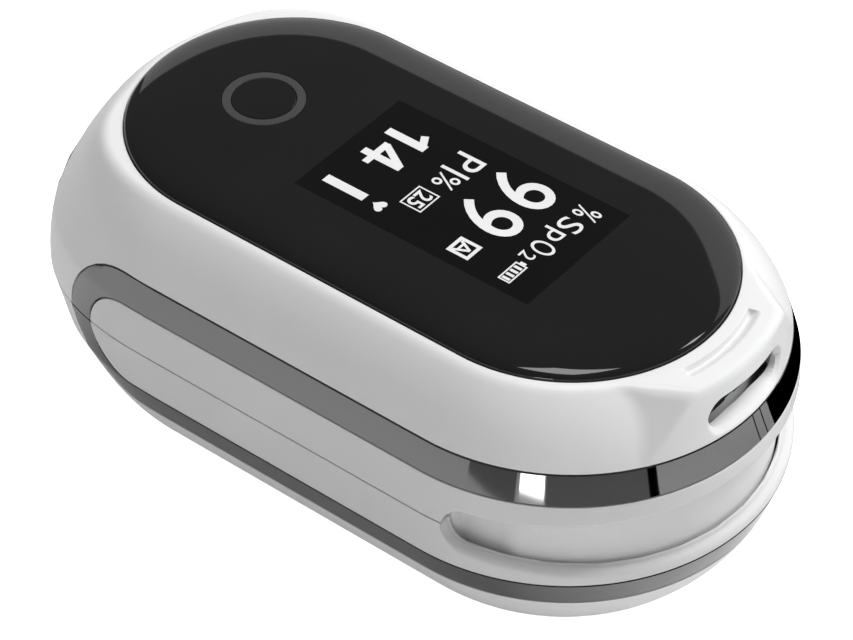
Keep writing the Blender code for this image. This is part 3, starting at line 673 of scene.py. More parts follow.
SEAT_R = PANEL_HALF + 0.07
SHELF_R = PANEL_HALF - 1.4
SHELF_TOP = PANEL_LOW.z - 0.1


def cover_section(station):
    """The top cover's wall at one station: up the outside, over the rim, and down the inside."""
    foot = foot_rise(station, 1, PAD_HIGH.z + 0.1)
    rim_out = cover_out(station, RIM_Z)
    on_ledge = smooth((rim_out - PANEL_HALF - FLANK_RIM - 0.2) / 1.5)
    fillet = mix(RIM_FILLET, LEDGE_FILLET, on_ledge)
    found = []
    rows = 52
    for i in range(rows + 1):
        z = mix(foot, RIM_Z - fillet, i / rows)
        found.append((cover_out(station, z) - slot_depth(station, z) * (station[0] == FRONT_Y), z))
    start = Vector(found[-1])
    corner = Vector((rim_out, RIM_Z))
    end = Vector((max(rim_out - fillet, SEAT_R + 0.1), RIM_Z))
    for i in range(1, 9):
        share = i / 8
        found.append(tuple(start * (1 - share) ** 2 + corner * 2 * share * (1 - share) + end * share**2))
    for i in range(1, 61):
        out = mix(end.x, SEAT_R + 0.07, i / 60)
        found.append((out, RIM_Z - groove_depth(station, out)))
    found += [(SEAT_R + 0.02, RIM_Z - 0.03), (SEAT_R, RIM_Z - 0.1), (SEAT_R, SHELF_TOP)]
    found += [(SHELF_R, SHELF_TOP), (SHELF_R, SHELF_TOP - 0.9)]
    for i in range(9):
        z = mix(SHELF_TOP - 0.9, foot, i / 8)
        found.append((outer(station, z) - WALL, z))
    return [place(station, out, z) for out, z in found]


def top_cover():
    front = spread((0, 14), (42, 44), (72, 120), (108, 44), (138, 14), (180, 1))
    stations = stadium(front, 24, rear_turns())
    cover = ring_loft("top_cover", [cover_section(st) for st in stations], WHITE, sharp=50)
    carve(cover, [slot_tool("slot_mouth", SLOT_R - 0.1, SLOT_Z, SLOT_PLANE - 0.5, LEDGE_R + 2)], sharp=50)
    back = box_mesh(
        "slot_back",
        (-SLOT_HALF - 0.3, FRONT_Y + SLOT_PLANE - 4, SLOT_Z - SLOT_R - 0.3),
        (SLOT_HALF + 0.3, FRONT_Y + SLOT_PLANE, SLOT_Z + SLOT_R + 0.3),
        WHITE,
    )
    carve(cover, [back], sharp=50)
    # A near-black block inside the cover, just behind the strap slot: painted shade, so that the slot's
    # inside reads dark
    shade_block = box_mesh(
        "slot_painted_shade",
        (-SLOT_HALF - 0.6, FRONT_Y + SLOT_PLANE - 1.4, SLOT_Z - SLOT_R - 0.2),
        (SLOT_HALF + 0.6, FRONT_Y + SLOT_PLANE - 0.7, SLOT_Z + SLOT_R + 0.2),
        CHIP,
        bevel=0.1,
    )
    done(shade_block, "upper_half", "chip")
    return done(cover, "upper_half", "white_shell", "top_cover")


def slot_tool(name, radius, z, inner, outer_r):
    """A round-ended bar along Y that cuts the strap slot between two distances from the front centre."""
    half = SLOT_HALF - SLOT_R
    outline = []
    for centre, first in ((half, -90), (-half, 90)):
        for i in range(13):
            turn = first + 15 * i
            outline.append((centre + radius * cosd(turn), z + radius * sind(turn)))
    sections = [[(x, FRONT_Y + y, z) for x, z in outline] for y in (inner, outer_r)]
    return ring_loft(name, sections, WHITE, closed=False)


# Panel, display and key


def panel_fall(out):
    """How far the panel's face has rolled down at this distance from its spine."""
    share = max(out - (PANEL_HALF - PANEL_ROLL), 0.0) / PANEL_ROLL
    return (HEIGHT - RIM_Z) * (1 - (1 - min(share, 1.0) ** PANEL_CURVE) ** (1 / PANEL_CURVE))


def front_panel():
    turns = spread((0, 60), (180, 1))
    stations = stadium(turns, 8, [180 + t for t in turns])
    profile = [(PANEL_HALF - 0.1, PANEL_LOW.z), (PANEL_HALF, PANEL_LOW.z + 0.1), (PANEL_HALF, RIM_Z - 0.05)]
    for i in range(1, 41):
        out = mix(PANEL_HALF, PANEL_HALF - PANEL_ROLL, (i / 40) ** 2.2)
        profile.append((out, HEIGHT - panel_fall(out)))
    panel = plate_loft("front_panel", stations, profile, GLOSS)
    ease = 0.012
    window = box_mesh(
        "window_cut",
        (WINDOW_LOW.x - 0.3 - ease, WINDOW_LOW.y - 0.3 - ease, PANEL_LOW.z - 1),
        (WINDOW_HIGH.x + 0.3 + ease, WINDOW_HIGH.y + 0.3 + ease, HEIGHT + 1),
        GLOSS,
    )
    hole = turned(
        "key_cut", (0, KEY_Y, 0), (0, 0, 1),
        [(RING_HIGH.x + 0.02, PANEL_LOW.z - 1), (RING_HIGH.x + 0.02, HEIGHT + 1)],
        GLOSS, steps=96,
    )
    carve(panel, [window, hole], sharp=32)
    return done(panel, "upper_half", "black_gloss", "front_panel")


def display_window():
    glass = box_mesh(
        "display_window",
        (WINDOW_LOW.x - 0.3, WINDOW_LOW.y - 0.3, WINDOW_LOW.z),
        (WINDOW_HIGH.x + 0.3, WINDOW_HIGH.y + 0.3, HEIGHT - 0.004),
        SCREEN,
    )
    return done(glass, "upper_half", "screen", "display_window")


def key_top(x, y):
    """Height of the panel's face at this place, so that the ring and key lie flush with it."""
    return HEIGHT - panel_fall(math.hypot(x, y - REAR_Y) if y < REAR_Y else abs(x))


def flush_disc(name, inner, outer_r, low, finish_used, drop=0.0, steps=96, sharp=32):
    """A disc or a ring whose top follows the panel's face."""
    made = bmesh.new()
    bevel = 0.05
    radii = [(outer_r, None), (outer_r, bevel), (outer_r - bevel, 0.0)]
    count = 8
    last = inner + bevel if inner else 0.05
    radii += [(mix(outer_r - bevel, last, i / count), 0.0) for i in range(1, count + 1)]
    if inner:
        radii += [(inner, bevel), (inner, None)]
    loops = []
    for radius, below in radii:
        loop = []
        for i in range(steps):
            x, y = radius * cosd(360 * i / steps), KEY_Y + radius * sind(360 * i / steps)
            z = low if below is None else key_top(x, y) - below - drop
            loop.append(made.verts.new((x, y, z)))
        loops.append(loop)
    pairs = list(zip(loops, loops[1:])) + ([(loops[-1], loops[0])] if inner else [])
    for first, second in pairs:
        for i in range(steps):
            j = (i + 1) % steps
            made.faces.new((first[i], first[j], second[j], second[i]))
    if not inner:
        made.faces.new(loops[0])
        made.faces.new(loops[-1])
    bmesh.ops.recalc_face_normals(made, faces=made.faces)
    return show(name, made, finish_used, sharp)


RING_INNER = 2.57


def power_key():
    ring = flush_disc("button_ring", RING_INNER, RING_HIGH.x, RING_LOW.z, PRINT)
    done(ring, "power_key", "ring_print", "button_ring")
    key = flush_disc("power_button", 0.0, RING_INNER - 0.03, KEY_LOW.z + 0.6, GLOSS)
    foot = turned(
        "key_foot",
        (0, KEY_Y, 0),
        (0, 0, 1),
        [
            (1.0, KEY_LOW.z), (1.1, KEY_LOW.z + 0.1), (1.1, KEY_LOW.z + 0.2),
            (1.9, KEY_LOW.z + 0.2), (1.9, KEY_LOW.z + 0.9),
        ],
        GLOSS,
        steps=32,
    )
    carve(key, [foot], "UNION", sharp=32)
    done(key, "power_key", "black_gloss", "power_button")


# Symbols of the display, in millimetres on its face

SYMBOL_Z = HEIGHT + 0.006
SYMBOL_DEPTH = 0.012


def raised(name, made):
    """Flat symbol faces given a thin body."""
    found = bmesh.ops.extrude_face_region(made, geom=made.faces[:])
    for item in found["geom"]:
        if isinstance(item, bmesh.types.BMVert):
            item.co.z += SYMBOL_DEPTH
    bmesh.ops.recalc_face_normals(made, faces=made.faces)
    return show(name, made, LIT)


def text_symbol(name, body, low, high, weight=0.0):
    """Characters stretched to fill the box between two corners."""
    curve = bpy.data.curves.new(name, "FONT")
    curve.body = body
    curve.size = 1.0
    curve.offset = weight
    curve.extrude = 0.01
    curve.resolution_u = 6
    guide = bpy.data.objects.new(name + "_guide", curve)
    bpy.context.scene.collection.objects.link(guide)
    graph = bpy.context.evaluated_depsgraph_get()
    mesh = bpy.data.meshes.new_from_object(guide.evaluated_get(graph))
    bpy.data.objects.remove(guide, do_unlink=True)
    made = bmesh.new()
    made.from_mesh(mesh)
    bmesh.ops.remove_doubles(made, verts=made.verts, dist=1e-5)
    xs = [v.co.x for v in made.verts]
    ys = [v.co.y for v in made.verts]
    for v in made.verts:
        v.co.x = mix(low[0], high[0], (v.co.x - min(xs)) / (max(xs) - min(xs)))
        v.co.y = mix(low[1], high[1], (v.co.y - min(ys)) / (max(ys) - min(ys)))
        v.co.z = SYMBOL_Z + (SYMBOL_DEPTH if v.co.z > 0 else 0.0)
    bmesh.ops.recalc_face_normals(made, faces=made.faces)
    return show(name, made, LIT)


def flat_symbol(name, outlines):
    """Flat outlines as faces, each raised a little."""
    made = bmesh.new()
    for outline in outlines:
        made.faces.new([made.verts.new((x, y, SYMBOL_Z)) for x, y in outline])
    bmesh.ops.triangulate(made, faces=made.faces[:])
    return raised(name, made)


def bar(x0, y0, x1, y1):
    return [(x0, y0), (x1, y0), (x1, y1), (x0, y1)]


def hollow_box(x0, y0, x1, y1, line):
    """Four bars that make the outline of a box."""
    return [
        bar(x0, y0, x1, y0 + line),
        bar(x0, y1 - line, x1, y1),
        bar(x0, y0 + line, x0 + line, y1 - line),
        bar(x1 - line, y0 + line, x1, y1 - line),
    ]


def heart(centre_x, centre_y, half):
    found = []
    for i in range(40):
        turn = 2 * math.pi * i / 40
        x = 16 * math.sin(turn) ** 3
        y = 13 * math.cos(turn) - 5 * math.cos(2 * turn) - 2 * math.cos(3 * turn) - math.cos(4 * turn)
        found.append((centre_x + half * x / 16, centre_y + half * y / 16))
    return found


def stroke(start, end, width):
    run = Vector(end) - Vector(start)
    off = Vector((-run.y, run.x)).normalized() * width / 2
    return [
        tuple(Vector(start) - off), tuple(Vector(end) - off),
        tuple(Vector(end) + off), tuple(Vector(start) + off),
    ]


def symbols():
    found = [
        text_symbol("label_percent", "%", (-5.15, 11.45), (-3.9, 13.65)),
        text_symbol("label_s", "S", (-3.3, 11.35), (-1.98, 13.4)),
        text_symbol("label_p", "p", (-1.62, 10.95), (-0.45, 12.8)),
        text_symbol("label_o", "O", (-0.02, 11.3), (1.32, 13.35)),
        text_symbol("label_two", "2", (1.66, 11.3), (2.42, 12.55)),
        text_symbol("reading_first", "9", (-5.15, 4.3), (-2.2, 9.9), 0.005),
        text_symbol("reading_second", "9", (-1.15, 4.3), (1.8, 9.9), 0.005),
        text_symbol("index_p", "P", (-4.45, 0.55), (-2.85, 3.15)),
        flat_symbol("index_i", [bar(-2.32, 0.55, -2.0, 3.15)]),
        text_symbol("index_percent", "%", (-1.7, 0.95), (-0.15, 2.95)),
        text_symbol("index_value", "25", (1.08, 0.98), (2.85, 2.42), 0.012),
        flat_symbol("pulse_one", [bar(-3.3, -5.35, -2.52, -1.6), stroke((-4.12, -2.6), (-2.9, -1.9), 0.62)]),
        flat_symbol("pulse_four", [
            bar(-0.3, -5.35, 0.4, -1.65), bar(-1.7, -4.6, 1.12, -4.0),
            stroke((-1.5, -4.3), (-0.05, -1.85), 0.6),
        ]),
        flat_symbol("index_box", hollow_box(0.75, 0.68, 3.14, 2.72, 0.12)),
        flat_symbol("pulse_bar", [bar(3.95, -5.5, 4.8, -1.62)]),
        flat_symbol("pulse_heart", [heart(4.45, -0.2, 0.62)]),
    ]
    battery = hollow_box(3.1, 11.67, 5.35, 12.78, 0.13) + [bar(2.85, 11.98, 3.1, 12.5)]
    battery += [bar(3.45 + 0.48 * i, 11.88, 3.7 + 0.48 * i, 12.57) for i in range(4)]
    found.append(flat_symbol("cell_icon", battery))
    frame_bars = hollow_box(3.38, 6.75, 5.22, 8.8, 0.3)
    strokes = [stroke((3.75, 7.1), (4.3, 8.3), 0.22), stroke((4.3, 8.3), (4.9, 7.1), 0.22)]
    found.append(flat_symbol("probe_icon", frame_bars + strokes + [bar(3.9, 7.35, 4.75, 7.55)]))
    for piece in found:
        done(piece, "upper_half", "screen")


# Bands


def trim_band(name, sign, body, slot, node):
    """Half of the chrome trim, from the bend on one side round the front to the bend on the other."""
    near, far = BAND_NEAR + LINE, BAND_FAR - LINE
    edge = 0.07
    shares = [0.0] + [mix(edge, far - near - edge, i / 8) for i in range(9)] + [far - near]
    insets = [edge] + [0.0] * 9 + [edge]

    def ring(point_at):
        face = [point_at(near + s, inset) for s, inset in zip(shares, insets)]
        back = [point_at(far, BAND_THICK), point_at(near, BAND_THICK)]
        return face + back

    def at_bend(side, turn):
        def point_at(reach, inset):
            y = BEND_Y + reach * cosd(turn)
            z = SEAM_Z + sign * max(reach * sind(turn), SEAM_LINE)
            return on_side(side, y, z, inset)

        return ring(point_at)

    def at_side(side, y):
        return ring(lambda reach, inset: on_side(side, y, SEAM_Z + sign * reach, inset))

    def at_front(turn):
        station = (FRONT_Y, cosd(turn), sind(turn))
        return ring(
            lambda reach, inset: place(
                station, plain_offset(SEAM_Z + sign * reach) - inset, SEAM_Z + sign * reach
            )
        )

    bend_turns = spread((180, 30), (90, 1))
    side_ys = spread((BEND_Y, 12), (FRONT_Y, 1))[1:-1]
    sections = [at_bend(1, t) for t in bend_turns] + [at_side(1, y) for y in side_ys]
    sections += [at_front(t) for t in spread((0, 120), (180, 1))]
    sections += [at_side(-1, y) for y in reversed(side_ys)] + [at_bend(-1, t) for t in reversed(bend_turns)]
    made = ring_loft(name, sections, CHROME, closed=False)
    return done(made, body, slot, node)


# Frames


def wedge_edge(y, sign):
    """Height above or below the seam of the squeeze gap's edge at this place along the body."""
    reach = WEDGE_TOP + WEDGE_DROP if sign > 0 else WEDGE_BOTTOM - WEDGE_DROP
    start = WEDGE_Y - WEDGE_R
    if y <= start:
        return SEAM_LINE
    round_end = math.sqrt(max(WEDGE_R**2 - min(y - WEDGE_Y, 0.0) ** 2, 0.0))
    front = FRONT_Y + HALF_WIDTH + 1
    rise = round_end + (reach - WEDGE_R) * max(y - WEDGE_Y, 0.0) / (front - WEDGE_Y)
    return max(rise - sign * WEDGE_DROP, SEAM_LINE)


def skin_ring(point_at, low, high, thick, ease_low, ease_high):
    """A cross-section of a wall between two heights, with rounded outer edges of their own size."""
    found = []
    for i in range(7):
        turn = 90 - 15 * i
        found.append(point_at(low + ease_low * (1 - cosd(90 - turn)), ease_low * (1 - sind(90 - turn))))
    for i in range(1, 8):
        found.append(point_at(mix(low + ease_low, high - ease_high, i / 8), 0.0))
    for i in range(7):
        turn = 15 * i
        found.append(point_at(high - ease_high * (1 - sind(turn)), ease_high * (1 - cosd(turn))))
    found.append(point_at(high, thick))
    found.append(point_at(low, thick))
    return found


def side_skin(name, sign, thick, wedge_ease, finish_used):
    """The wall between the seam and a band, with the squeeze gap cut out of it."""
    reach = BAND_NEAR - LINE

    def section(point, y, top):
        share = smooth((y - WEDGE_Y + WEDGE_R) / 1.5)
        ease = mix(0.06, wedge_ease, share)
        low = wedge_edge(y, sign)
        ease = min(ease, (top - low) * 0.6)
        return skin_ring(point, low, top, thick, ease, 0.06)

    def at_side(side, y, top):
        return section(lambda rise, inset: on_side(side, y, SEAM_Z + sign * rise, inset), y, top)

    def at_front(turn):
        station = (FRONT_Y, cosd(turn), sind(turn))

        def point(rise, inset):
            return place(station, plain_offset(SEAM_Z + sign * rise) - inset, SEAM_Z + sign * rise)

        return section(point, FRONT_Y + HALF_WIDTH * sind(turn), reach)

    bend = []
    for turn in spread((176, 28), (90, 1)):
        bend.append((BEND_Y + reach * cosd(turn), reach * sind(turn)))
    side_ys = spread((BEND_Y, 12), (FRONT_Y, 1))[1:-1]
    first = math.degrees(math.asin((WEDGE_Y - WEDGE_R - FRONT_Y - 0.02) / HALF_WIDTH))
    last = math.degrees(math.asin((WEDGE_Y - FRONT_Y) / HALF_WIDTH))
    front = spread((0, 4), (first, 40), (last, 40), (90, 1))
    front += [180 - turn for turn in front[-2::-1]]
    sections = [at_side(1, y, top) for y, top in bend] + [at_side(1, y, reach) for y in side_ys]
    sections += [at_front(t) for t in front]
    sections += [at_side(-1, y, reach) for y in reversed(side_ys)]
    sections += [at_side(-1, y, top) for y, top in reversed(bend)]
    return ring_loft(name, sections, finish_used, closed=False, sharp=50)


def skirt():
    """The textured wall behind the squeeze gap: it steps back near each end of the gap."""
    top = SEAM_Z + BAND_NEAR - 0.5
    sections = []
    limit = math.degrees(math.asin((SKIRT_START_Y - FRONT_Y) / SKIRT_R))
    turns = spread((limit, 60), (40, 30), (90, 1))
    turns += [180 - turn for turn in turns[-2::-1]]
    for turn in turns:
        station = (FRONT_Y, cosd(turn), sind(turn))
        y = FRONT_Y + SKIRT_R * sind(turn)
        back = SKIRT_STEP * (1 - smooth((y - SKIRT_STEP_Y) / SKIRT_STEP_RUN))
        back -= (SKIRT_STEP + 0.15) * (1 - smooth((y - SKIRT_START_Y) / 1.1))
        out = SKIRT_R - back
        foot = mix(SEAM_Z - 3.6, SKIRT_FOOT, smooth((y - SKIRT_STEP_Y) / 4))
        rows = [(out - 0.25 * smooth((z - SEAM_Z) / 6), z) for z in spread((foot, 14), (top, 1))]
        rows += [(out - SKIRT_WALL, top), (out - SKIRT_WALL, foot)]
        sections.append([place(station, r, z) for r, z in rows])
    return ring_loft("squeeze_skirt", sections, TEXTURED, closed=False, sharp=50)


def keep_inside(name, node, out, finish_used, rooms=()):
    """The frame node's own structure, kept inside a fine stadium so that new walls can face it."""
    core = merged_copy(node, name, finish_used)
    turns = spread((0, 48), (180, 1))
    stations = stadium(turns, 6, [180 + t for t in turns])
    limit = plate_loft("limit", stations, [(out, -1), (out, HEIGHT + 1)], finish_used)
    carve(core, [limit], "INTERSECT")
    if rooms:
        carve(core, list(rooms))
    return core


def room_ring(name, inner, outer_r, low, high, from_y):
    """A ring of space round the front of the body."""
    sections = []
    start = math.degrees(math.asin((from_y - FRONT_Y) / inner))
    for turn in spread((start, 60), (180 - start, 1)):
        station = (FRONT_Y, cosd(turn), sind(turn))
        corners = ((inner, low), (inner, high), (outer_r, high), (outer_r, low))
        sections.append([place(station, out, z) for out, z in corners])
    return ring_loft(name, sections, PALE, closed=False)


def upper_frame():
    room = room_ring(
        "old_skirt", SKIRT_R - SKIRT_WALL - 0.2, HALF_WIDTH + 2,
        SKIRT_FOOT - 1, SEAM_Z + BAND_NEAR - 1.45, WEDGE_Y - WEDGE_R,
    )
    core = keep_inside("upper_frame", "upper_frame", HALF_WIDTH - 0.9, PALE, [room])
    skin = side_skin("side_panels", 1, 1.2, 0.4, PALE)
    carve(core, [skin], "UNION", sharp=50)
    done(core, "upper_half", "grey_shell", "upper_frame")
    done(skirt(), "upper_half", "grey_shell")


def lower_frame():
    core = keep_inside("lower_frame", "lower_frame", HALF_WIDTH - 0.9, PALE)
    skin = side_skin("lower_panels", -1, LIP_WALL, 0.5, PALE)
    carve(core, [skin], "UNION", sharp=50)
    done(core, "lower_half", "grey_shell", "lower_frame")


# Bottom cover and door


def base_profile(inset, top):
    """The lower shell's section from the base up, moved in by the inset."""
    found = [(0.4, inset), (BASE_HALF - BASE_ROUND - inset, inset)]
    for i in range(1, 7):
        turn = 15 * i
        out = BASE_HALF - BASE_ROUND + BASE_ROUND * sind(turn)
        found.append((out - inset, inset + BASE_EDGE * (1 - cosd(turn))))
    for i in range(1, 15):
        angle = mix(BASE_ARC_END, FLANK_SLOPE, i / 14)
        centre, radius = BASE_CENTRE, BASE_ARC - inset
        found.append((centre.x + radius * math.cos(angle), centre.y - radius * math.sin(angle)))
    found.append((HALF_WIDTH - INSET_NEAR - inset, SEAM_Z - BAND_NEAR))
    found.append((HALF_WIDTH - inset, top))
    return found


def shell_solid(name, profile, finish_used, front_steps=60):
    """A solid made by carrying the profile round the stadium, with the finger end's swell."""
    turns = spread((0, front_steps), (180, 1))
    stations = stadium(turns, 10, [180 + t for t in turns])
    made = bmesh.new()
    loops = []
    for out, z in profile:
        loops.append([made.verts.new(place(st, out + swell(st[1], st[2], z), z)) for st in stations])
    for lower, upper in zip(loops, loops[1:]):
        for i in range(len(lower)):
            j = (i + 1) % len(lower)
            made.faces.new((lower[i], lower[j], upper[j], upper[i]))
    made.faces.new(loops[0])
    made.faces.new(loops[-1])
    bmesh.ops.recalc_face_normals(made, faces=made.faces)
    return show(name, made, finish_used)


def side_cutter(name, reach):
    """The space round the bands as seen from the side, open towards the squeeze end."""
    outline = [(BEND_Y + reach * cosd(t), SEAM_Z + reach * sind(t)) for t in spread((90, 64), (270, 1))]
    outline += [(60.0, SEAM_Z - reach), (60.0, SEAM_Z + reach)]
    sections = [[(x, y, z) for y, z in outline] for x in (-40.0, 40.0)]
    return ring_loft(name, sections, WHITE, closed=False)


def mouth_cutter(name, low, high):
    corner = MOUTH_ROUND
    half = MOUTH_HALF
    outline = []
    for x, z, first in (
        (half - corner, high - corner, 0),
        (corner - half, high - corner, 90),
        (corner - half, low + corner, 180),
        (half - corner, low + corner, 270),
    ):
        outline += [
            (x + corner * cosd(first + t), z + corner * sind(first + t)) for t in spread((0, 12), (90, 1))
        ]
    sections = [[(x, y, z) for x, z in outline] for y in (-50.0, REAR_Y - 4)]
    return ring_loft(name, sections, WHITE, closed=False)


def door_cutter(name, ease):
    return box_mesh(
        name,
        (DOOR_LOW.x - ease, -50, -5),
        (DOOR_HIGH.x + ease, DOOR_HIGH.y + ease, DOOR_HIGH.z + ease),
        WHITE,
    )


def bottom_cover():
    top = SEAM_Z - SEAM_LINE
    cover = shell_solid("bottom_cover", base_profile(0.0, top), WHITE)
    cavity = shell_solid("cavity", base_profile(WALL, SEAM_Z + 2), WHITE)
    tools = [
        cavity,
        side_cutter("band_space", BAND_FAR + LINE),
        mouth_cutter("mouth_space", SOLE_LOW.z - 0.1, HEIGHT),
        door_cutter("door_space", 0.12),
    ]
    carve(cover, tools)
    soften(cover, 0.07, angle=50, segments=2, sharp=50)
    return done(cover, "lower_half", "white_shell", "bottom_cover")


def thumb_ribs():
    """Low ribs across the door, spaced by a node tree along a row."""
    tree = bpy.data.node_groups.new("thumb_ribs", "GeometryNodeTree")
    tree.interface.new_socket(name="Geometry", in_out="OUTPUT", socket_type="NodeSocketGeometry")
    for label, kind, value in (
        ("Count", "NodeSocketInt", 9),
        ("Pitch", "NodeSocketFloat", 1.1 * MM),
        ("Width", "NodeSocketFloat", 8.0 * MM),
        ("Thickness", "NodeSocketFloat", 0.45 * MM),
        ("Start Y", "NodeSocketFloat", 8.0 * MM),
        ("Height", "NodeSocketFloat", 0.0),
        ("Finish", "NodeSocketMaterial", None),
    ):
        socket = tree.interface.new_socket(name=label, in_out="INPUT", socket_type=kind)
        if value is not None:
            socket.default_value = value
    given = tree.nodes.new("NodeGroupInput")
    result = tree.nodes.new("NodeGroupOutput")
    row = tree.nodes.new("GeometryNodeMeshLine")
    start = tree.nodes.new("ShaderNodeCombineXYZ")
    step = tree.nodes.new("ShaderNodeCombineXYZ")
    tree.links.new(given.outputs["Start Y"], start.inputs["Y"])
    tree.links.new(given.outputs["Height"], start.inputs["Z"])
    tree.links.new(given.outputs["Pitch"], step.inputs["Y"])
    tree.links.new(given.outputs["Count"], row.inputs["Count"])
    tree.links.new(start.outputs["Vector"], row.inputs["Start Location"])
    tree.links.new(step.outputs["Vector"], row.inputs["Offset"])
    rib = tree.nodes.new("GeometryNodeMeshCylinder")
    rib.inputs["Vertices"].default_value = 16
    tree.links.new(given.outputs["Thickness"], rib.inputs["Radius"])
    tree.links.new(given.outputs["Width"], rib.inputs["Depth"])
    spots = tree.nodes.new("GeometryNodeInstanceOnPoints")
    spots.inputs["Rotation"].default_value = (0.0, math.pi / 2, 0.0)
    tree.links.new(row.outputs["Mesh"], spots.inputs["Points"])
    tree.links.new(rib.outputs["Mesh"], spots.inputs["Instance"])
    real = tree.nodes.new("GeometryNodeRealizeInstances")
    paint = tree.nodes.new("GeometryNodeSetMaterial")
    tree.links.new(spots.outputs["Instances"], real.inputs["Geometry"])
    tree.links.new(real.outputs["Geometry"], paint.inputs["Geometry"])
    tree.links.new(given.outputs["Finish"], paint.inputs["Material"])
    tree.links.new(paint.outputs["Geometry"], result.inputs["Geometry"])
    return tree


def by_nodes(name, tree, values):
    """A plain mesh made by a node tree with the given named inputs."""
    mesh = bpy.data.meshes.new(name)
    obj = bpy.data.objects.new(name, mesh)
    bpy.context.scene.collection.objects.link(obj)
    modifier = obj.modifiers.new("nodes", "NODES")
    modifier.node_group = tree
    for item in tree.interface.items_tree:
        if item.name in values and item.in_out == "INPUT":
            modifier[item.identifier] = values[item.name]
    graph = bpy.context.evaluated_depsgraph_get()
    made = bpy.data.meshes.new_from_object(obj.evaluated_get(graph))
    obj.modifiers.clear()
    obj.data = made
    made.shade_smooth()
    made.set_sharp_from_angle(angle=math.radians(40))
    return obj


def battery_door():
    top = SEAM_Z - SEAM_LINE
    door = shell_solid("battery_door", base_profile(0.0, top), WHITE)
    cavity = shell_solid("door_cavity", base_profile(1.3, SEAM_Z + 2), WHITE)
    carve(door, [cavity])
    carve(door, [door_cutter("door_limit", 0.0)], "INTERSECT")
    carve(door, [mouth_cutter("door_mouth", SOLE_LOW.z - 0.1, HEIGHT)])
    soften(door, 0.1, angle=50, segments=2, sharp=50)
    values = {"Start Y": 8.2 * MM, "Height": 0.36 * MM, "Width": 9.0 * MM, "Finish": WHITE}
    ribs = by_nodes("door_ribs", thumb_ribs(), values)
    done(door, "door", "white_shell", "battery_door")
    done(ribs, "door", "white_shell")


# Pads


def soft_pad(node, sign, body):
    """A moulded liner: the frame's hollow with round outer corners and soft edges."""
    low, high = span(node)
    back = high.z if sign > 0 else low.z
    pad = merged_copy(node, node, SILICONE)
    half = high.x + 0.02
    radius = MOUTH_ROUND - 0.2
    outline = [(half, back - sign * 9), (-half, back - sign * 9)]
    for centre, first in ((radius - half, 180), (half - radius, 90)):
        for i in range(13):
            turn = first - 7.5 * i
            outline.append(
                (centre + radius * cosd(turn), back + sign * (0.02 - radius + radius * sind(turn)))
            )
    sections = [[(x, y, z) for x, z in outline] for y in (low.y - 1, high.y + 1)]
    carve(pad, [ring_loft(node + "_limit", sections, SILICONE, closed=False)], "INTERSECT")
    soften(pad, 0.3, angle=35, segments=3, sharp=60)
    return done(pad, body, "silicone", node)


def pads():
    soft_pad("upper_pad", 1, "upper_half")
    soft_pad("lower_pad", -1, "lower_half")


# Inner parts that keep the frame's shapes


def inner_parts():
    finishes = {
        BOARD: ("main_board", "emitter_board", "detector_board"),
        CHIP: ("processor_chip", "tact_switch", "emitter_leds", "photodiode"),
        SCREEN: ("display_module",),
        STEEL: ("positive_contact", "negative_contact", "negative_spring", "hinge_shaft"),
        SPRING: ("torsion_spring_left", "torsion_spring_right"),
        SLEEVE: ("dry_cell",),
        FLEX: ("flex_cable",),
        RED: ("emitter_window", "detector_window"),
    }
    for paint, nodes in finishes.items():
        for node in nodes:
            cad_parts[node].data.materials.clear()
            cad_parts[node].data.materials.append(paint)
    for name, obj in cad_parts.items():
        if "_screw_" in name:
            obj.data.materials.clear()
            obj.data.materials.append(STEEL)


# Stage


def stage():
    world = bpy.data.worlds.new("studio")
    bpy.context.scene.world = world
    world.use_nodes = True
    tree = world.node_tree
    back = tree.nodes["Background"]
    back.inputs["Color"].default_value = (1, 1, 1, 1)
    path = tree.nodes.new("ShaderNodeLightPath")
    strength = tree.nodes.new("ShaderNodeMix")
    strength.data_type = "FLOAT"
    strength.inputs["A"].default_value = 0.46
    strength.inputs["B"].default_value = 0.13
    tree.links.new(path.outputs["Is Glossy Ray"], strength.inputs["Factor"])
    tree.links.new(strength.outputs["Result"], back.inputs["Strength"])

    floor_made = bmesh.new()
    bmesh.ops.create_grid(floor_made, x_segments=1, y_segments=1, size=2500.0)
    floor_paint = bpy.data.materials.new("pale_floor")
    floor_paint.use_nodes = True
    shader = floor_paint.node_tree.nodes["Principled BSDF"]
    shader.inputs["Base Color"].default_value = (0.82, 0.82, 0.82, 1)
    shader.inputs["Roughness"].default_value = 0.9
    shader.inputs["Specular IOR Level"].default_value = 0.0
    shader.inputs["Emission Color"].default_value = (1, 1, 1, 1)
    seen = floor_paint.node_tree.nodes.new("ShaderNodeLightPath")
    floor_paint.node_tree.links.new(seen.outputs["Is Camera Ray"], shader.inputs["Emission Strength"])
    floor = show("floor", floor_made, floor_paint)
    floor.location.z = -0.0001

    area("key_soft", (-0.36, 0.20, 0.66), (0, 0, 0.02), 0.35, 4.7, seen=False)
    area("rim_strip", (-0.28, 0.30, 0.42), (0, 0.02, 0.03), 0.10, 0.25, seen=True)

    sector("dim_near_floor", (-2, 18), (110, 200), 0.25)
    sector("window_on_floor", (19.4, 29.4), (120, 260), 9.0)
    sector("dim_front_floor", (30, 71), (90, 220), 0.3)
    sector("first_dark_wedge", (71, 75), (60, 240), 0.0)
    sector("second_dark_line", (121.7, 122.3), (40, 240), 0.0)
    sector("third_dark_line", (126.2, 126.8), (40, 240), 0.0)
    sector("dark_far_floor", (131, 230), (20, 250), 0.0)
    glow_ceiling("top_glow", (0.03, 0.05, 0.75), 0.28, 6.0)
    glow_wall("far_glow", (-0.6, -0.4, 0.3), (1.5, 0.6), 0.95)


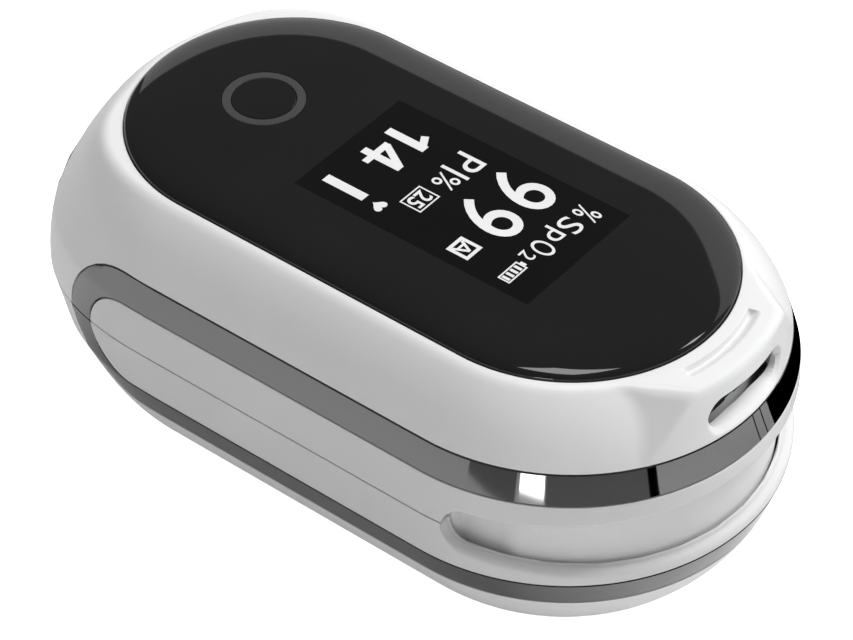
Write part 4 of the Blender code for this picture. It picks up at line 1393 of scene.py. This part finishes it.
def glow_card(name, made, strength):
    """A studio card that only reflections show."""
    paint = bpy.data.materials.new(name)
    paint.use_nodes = True
    shader = paint.node_tree.nodes["Principled BSDF"]
    shader.inputs["Base Color"].default_value = (0.0, 0.0, 0.0, 1)
    shader.inputs["Specular IOR Level"].default_value = 0.0
    shader.inputs["Emission Color"].default_value = (1, 1, 1, 1)
    shader.inputs["Emission Strength"].default_value = strength
    obj = show(name, made, paint)
    obj.visible_camera = False
    obj.visible_diffuse = False
    obj.visible_shadow = False
    obj.visible_transmission = False


def sector(name, turns, reach, strength):
    """A piece of floor round the squeeze end, between two turns and two distances from its centre."""
    made = bmesh.new()
    rows = []
    for radius in reach:
        row = []
        for i in range(13):
            turn = mix(turns[0], turns[1], i / 12)
            row.append(made.verts.new((radius * cosd(turn), FRONT_Y + radius * sind(turn), 0.8)))
        rows.append(row)
    for i in range(12):
        made.faces.new((rows[0][i], rows[1][i], rows[1][i + 1], rows[0][i + 1]))
    glow_card(name, made, strength)


def glow_ceiling(name, centre, size, strength):
    """A level card overhead, its centre in metres."""
    made = bmesh.new()
    bmesh.ops.create_grid(made, x_segments=1, y_segments=1, size=size / MM / 2)
    made.transform(Matrix.Translation(Vector(centre) / MM))
    glow_card(name, made, strength)


def glow_wall(name, centre, size, strength):
    """An upright card along Y, its centre in metres."""
    made = bmesh.new()
    bmesh.ops.create_grid(made, x_segments=1, y_segments=1, size=0.5)
    made.transform(Matrix.Diagonal((size[1] / MM, size[0] / MM, 1, 1)))
    made.transform(Matrix.Rotation(math.radians(90), 4, "Y"))
    made.transform(Matrix.Translation(Vector(centre) / MM))
    glow_card(name, made, strength)


def area(name, location, target, size, power, seen):
    light = bpy.data.lights.new(name, "AREA")
    light.shape = "SQUARE"
    light.size = size
    light.energy = power
    obj = bpy.data.objects.new(name, light)
    obj.location = location
    obj.rotation_euler = (Vector(target) - Vector(location)).to_track_quat("-Z", "Y").to_euler()
    obj.visible_glossy = seen
    bpy.context.scene.collection.objects.link(obj)


def camera():
    """The three-quarter view over the squeeze end and the right side."""
    turn, rise = math.radians(128.4127), math.radians(42.3069)
    target = Vector((12.21, 10.48, HEIGHT)) * MM
    back = Vector((math.sin(turn) * math.cos(rise), -math.cos(turn) * math.cos(rise), math.sin(rise)))
    data = bpy.data.cameras.new("camera")
    data.lens = 147.6
    data.sensor_width = 36.0
    data.clip_start = 0.01
    obj = bpy.data.objects.new("camera", data)
    obj.location = target + back * 0.2531
    obj.rotation_euler = back.to_track_quat("Z", "Y").to_euler()
    bpy.context.scene.collection.objects.link(obj)
    bpy.context.scene.camera = obj


bpy.context.scene.view_settings.view_transform = "Standard"
camera()
stage()
top_cover()
front_panel()
display_window()
power_key()
symbols()
trim_band("upper_band", 1, "upper_half", "chrome", "upper_band")
trim_band("lower_band", -1, "lower_half", "chrome", "lower_band")
upper_frame()
lower_frame()
bottom_cover()
battery_door()
pads()
inner_parts()
